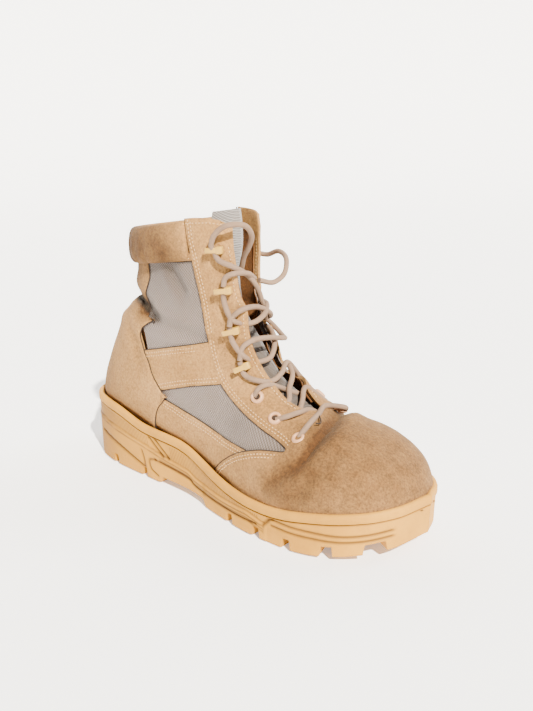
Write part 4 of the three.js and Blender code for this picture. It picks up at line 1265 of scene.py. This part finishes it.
wallLines = [
    # fine grooves and the edges of raised panels: places as (x, z), width, depth
    ([(25, 23), (45, 19), (66, 13), (81, 8.6)], 1.2, 1.3),
    ([(79, 21.6), (81.5, 15), (82.7, 8.3)], 1.1, 0.9),
    ([(95, 18), (88, 16), (90, 9), (98, 5.5)], 1.0, 0.9),
    ([(95, 18), (133, 15), (141, 11.5), (175, 10), (210, 10.5)], 1.0, 0.9),
    ([(88, 35), (96, 29), (105, 23)], 1.1, 1.1),
    ([(95, 35), (103, 29), (111, 23.5)], 1.1, 1.1),
    ([(217, 12.3), (222, 17.6), (224, 19.2)], 1.2, 1.6),
    ([(224, 18.3), (250, 18), (274, 18.3), (296, 22)], 1.0, 0.8),
    ([(224, 13.8), (250, 13.6), (274, 14.3), (296, 18)], 1.0, 0.8),
]
ribPanels = [(-5, 88), (112, 212)]        # x from, x to


# a place on the sole's outline, moved square to it by the inset
def edgePoint(x, side, inset):
    width = lambda at: smoothColumn(soleOutline, 1 if side < 0 else 2, at)
    x0, x1 = np.maximum(x - 0.5, 0), np.minimum(x + 0.5, soleValues["length"])
    slope = side * (width(x1) - width(x0)) / (x1 - x0)
    y = side * width(x)
    run = np.hypot(1, slope)
    return x + side * inset * slope / run, y - side * inset / run


# the height of the sole's underside, with the arch and the gaps between the lugs
def groundAt(x, notches=True):
    level = smoothColumn(soleHeights, 2, x)
    arch = archValues
    inside = np.clip(np.minimum(x - arch["rear"], arch["front"] - x) / 4, 0, 1)
    level = level + arch["rise"] * inside
    for place, half, height in lugNotches if notches else []:
        inside = np.clip((half + 0.6 - np.abs(x - place)) / 0.6, 0, 1)
        level = level + height * inside
    return level


# how far the wall stands out, how much painted shade darkens it in its grooves and at the heel, and where it
# is ribbed
def wallShape(x, z, rim):
    v = soleValues
    ridge = np.interp(x, [p[0] for p in ridgeLine], [p[1] for p in ridgeLine])
    out = v["ridgeHeight"] * np.exp(-(((z - ridge) / v["ridgeWidth"]) ** 2)) * (x < v["ridgeEnd"])
    out += 0.5 * (z < ridge - 1) * (x < v["ridgeEnd"])
    soleShade = np.zeros(len(x))
    points = np.stack([x, z], 1)
    for line, width, depth in wallLines:
        d, _ = lineDistance(points, smoothLine(line, 5))
        hollow = np.exp(-((d / width) ** 2))
        out -= depth * hollow
        soleShade += 0.9 * hollow
    # grooves that follow the ridge: offset above it, depth, x at which each one starts
    for offset, depth, start in ((1.5, 0.5, 0), (-1.5, 0.6, 0), (-3.6, 0.5, 100), (-5.4, 0.4, 100)):
        hollow = np.exp(-(((z - ridge - offset) / v["grooveWidth"]) ** 2))
        hollow = hollow * (x > start) * (x < v["groovesEnd"])
        out -= depth * hollow
        soleShade += 0.6 * hollow
    below = rim - v["bandHeight"] - 2.2
    ribs = np.zeros(len(x))
    for start, end in ribPanels:
        inside = (x > start) & (x < end) & (z > ridge + 1.9) & (z < below)
        ribs = np.where(inside, 1.0, ribs)
    soleShade += 0.55 * np.clip((80 - x) / 70, 0, 1)        # painted shade: the heel is darker
    return out, soleShade, ribs


def makeSole():
    v = soleValues
    stations = v["stations"]
    x = v["length"] / 2 * (1 - np.cos(np.pi * np.arange(stations + 1) / stations))
    top = [
        # the rows over the rim and down its band: inset, height from the rim, painted shade
        (8.0, -7, 1.2), (5.2, -3.5, 1.1), (4.0, -1.2, 0.7), (3.2, -0.25, 0.1), (2.2, 0, 0),
        (1.1, -0.25, 0), (0.4, -0.9, 0), (0, -2, 0), (0, -4, 0), (0, -5.6, 0), (0.25, -6.1, 0.05),
        (1.5, -6.5, 0.85), (1.5, -7.0, 0.9), (0.7, -7.5, 0.25),
    ]
    rows = v["wallRows"]
    half = len(top) + rows + 2
    bm = bmesh.new()
    bmesh.ops.create_grid(bm, x_segments=stations, y_segments=2 * half + 1, size=0.5)
    wearAndShade = bm.verts.layers.float.new("wearAndShade")
    ribbed = bm.verts.layers.float.new("ribs")
    flat = np.array([vertex.co[:2] for vertex in bm.verts]) + 0.5
    column = np.rint(flat[:, 0] * stations).astype(int)
    row = np.rint(flat[:, 1] * (2 * half + 1)).astype(int)
    side = np.where(row <= half, -1, 1)
    k = np.where(side < 0, row, 2 * half + 1 - row)
    at = x[column]
    rim = smoothColumn(soleHeights, 1, at)
    bottom = groundAt(at)
    inset = np.zeros(len(at))
    height = np.zeros(len(at))
    soleShade = np.zeros(len(at))
    for i, (rowInset, drop, dark) in enumerate(top):
        here = k == i
        inset[here], height[here], soleShade[here] = rowInset, rim[here] + drop, dark
    wall = (k >= len(top)) & (k < len(top) + rows)
    share = (k - len(top)) / (rows - 1)
    upperEnd, split, lowerEnd = rim - v["wallTop"], groundAt(at, False) + v["lugTop"], bottom + 1.2
    upperPart = v["wallShare"]
    steady = upperEnd + (split - upperEnd) * share / upperPart
    lugged = split + (lowerEnd - split) * (share - upperPart) / (1 - upperPart)
    height = np.where(wall, np.where(share <= upperPart, steady, lugged), height)
    shape, dark, ribs = wallShape(at, height, rim)
    inset = np.where(wall, 0.9 + 0.5 * share - shape, inset)
    soleShade = np.where(wall, dark, soleShade)
    # the rounded lower edge and the tread's outer strip: row, height from the ground, inset
    for below, lift, rowInset in ((half - 2, 0.5, 1.9), (half - 1, 0, 2.9), (half, 0, v["tread"])):
        height = np.where(k == below, bottom + lift, height)
        inset = np.where(k == below, rowInset, inset)
    placeX, placeY = np.zeros(len(at)), np.zeros(len(at))
    for s in (-1, 1):
        px, py = edgePoint(at, s, inset)
        placeX = np.where(side == s, px, placeX)
        placeY = np.where(side == s, py, placeY)
    heel, toe = column == 0, column == stations
    placeX = np.where(heel, inset, np.where(toe, v["length"] - inset, placeX))
    placeY = np.where(heel, 0, np.where(toe, v["toeTip"], placeY))
    ribs = np.where(wall, ribs, 0)
    places = toRow(np.stack([placeX, placeY, height], 1))
    for vertex, co, amount, rib in zip(bm.verts, places, soleShade, ribs):
        vertex.co = co
        vertex[wearAndShade] = amount
        vertex[ribbed] = rib
    bmesh.ops.remove_doubles(bm, verts=bm.verts, dist=0.00005)
    bmesh.ops.recalc_face_normals(bm, faces=bm.faces)
    bm.normal_update()
    votes = sum(1 if (f.normal.z > 0) == (f.calc_center_median().z > 0.02) else -1 for f in bm.faces
                if abs(f.normal.z) > 0.8)
    if votes < 0:
        bmesh.ops.reverse_faces(bm, faces=bm.faces)
    addPiece("soleUnit", bm, ["rubber"], ["outsole", "midsole"], 60)


makeSole()
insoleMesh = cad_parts["insole"].data
insoleMesh.materials.clear()
insoleMesh.materials.append(finishes["foot"])
print("sole made")


stageValues = {
    "floor": "FAFAFA", "glow": 0.35, "world": 0.1, "worldTint": (1, 0.985, 0.965, 1),
    "key": 16, "keySpread": 1.5, "keyTint": (1, 0.95, 0.86), "keyFrom": (-0.8, 0.42, -0.8),
    "fill": 2.2, "fillSpread": 28, "fillFrom": (-0.5, -0.8, -0.75),
    # in metres, the radius of the curve from the floor to the backdrop; in degrees, its turn
    "bend": 1.5, "turn": 51.5,
}


def addSun(name, spread, aim):
    sun = bpy.data.lights.new(name, "SUN")
    sun.energy = stageValues[name]
    sun.angle = math.radians(spread)
    lamp = newObject(name, sun)
    lamp.rotation_euler = Vector(aim).to_track_quat("-Z", "Y").to_euler()
    return sun


# a floor that curves up into a backdrop behind the boot
def makeStage():
    v = stageValues
    bm = bmesh.new()
    arc = [math.radians(d) for d in range(6, 91, 6)]
    profile = [(-6, 0), (2, 0)] + [(2 + v["bend"] * math.sin(a), v["bend"] - v["bend"] * math.cos(a))
                                   for a in arc] + [(2 + v["bend"], 5)]
    verts = [bm.verts.new((-9, y, z)) for y, z in profile]
    edges = [bm.edges.new(pair) for pair in zip(verts, verts[1:])]
    swept = bmesh.ops.extrude_edge_only(bm, edges=edges)["geom"]
    far = [g for g in swept if isinstance(g, bmesh.types.BMVert)]
    bmesh.ops.translate(bm, vec=(18, 0, 0), verts=far)
    turn = Matrix.Rotation(math.radians(v["turn"]), 3, "Z")
    bmesh.ops.rotate(bm, cent=(0, 0, 0), matrix=turn, verts=bm.verts)
    bmesh.ops.recalc_face_normals(bm, faces=bm.faces)
    for face in bm.faces:
        face.smooth = True
    mesh = bpy.data.meshes.new("floor")
    bm.to_mesh(mesh)
    bm.free()
    material, shader = newMaterial("floorPaper")
    shader.inputs["Base Color"].default_value = colour(v["floor"])
    shader.inputs["Roughness"].default_value = 0.95
    shader.inputs["Specular IOR Level"].default_value = 0.1
    shader.inputs["Emission Color"].default_value = (1, 1, 1, 1)
    shader.inputs["Emission Strength"].default_value = v["glow"]
    mesh.materials.append(material)
    floor = newObject("floor", mesh)
    floor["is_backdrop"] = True
    world = bpy.data.worlds.new("studio")
    world.use_nodes = True
    background = world.node_tree.nodes["Background"]
    background.inputs["Color"].default_value = v["worldTint"]
    background.inputs["Strength"].default_value = v["world"]
    bpy.context.scene.world = world
    addSun("key", v["keySpread"], v["keyFrom"]).color = v["keyTint"]
    addSun("fill", v["fillSpread"], v["fillFrom"])


makeStage()
print("stage and lights made")

plain = lambda box: [list(corner) for corner in box]
{"cad": plain(cadBox), "visual": plain(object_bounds())}
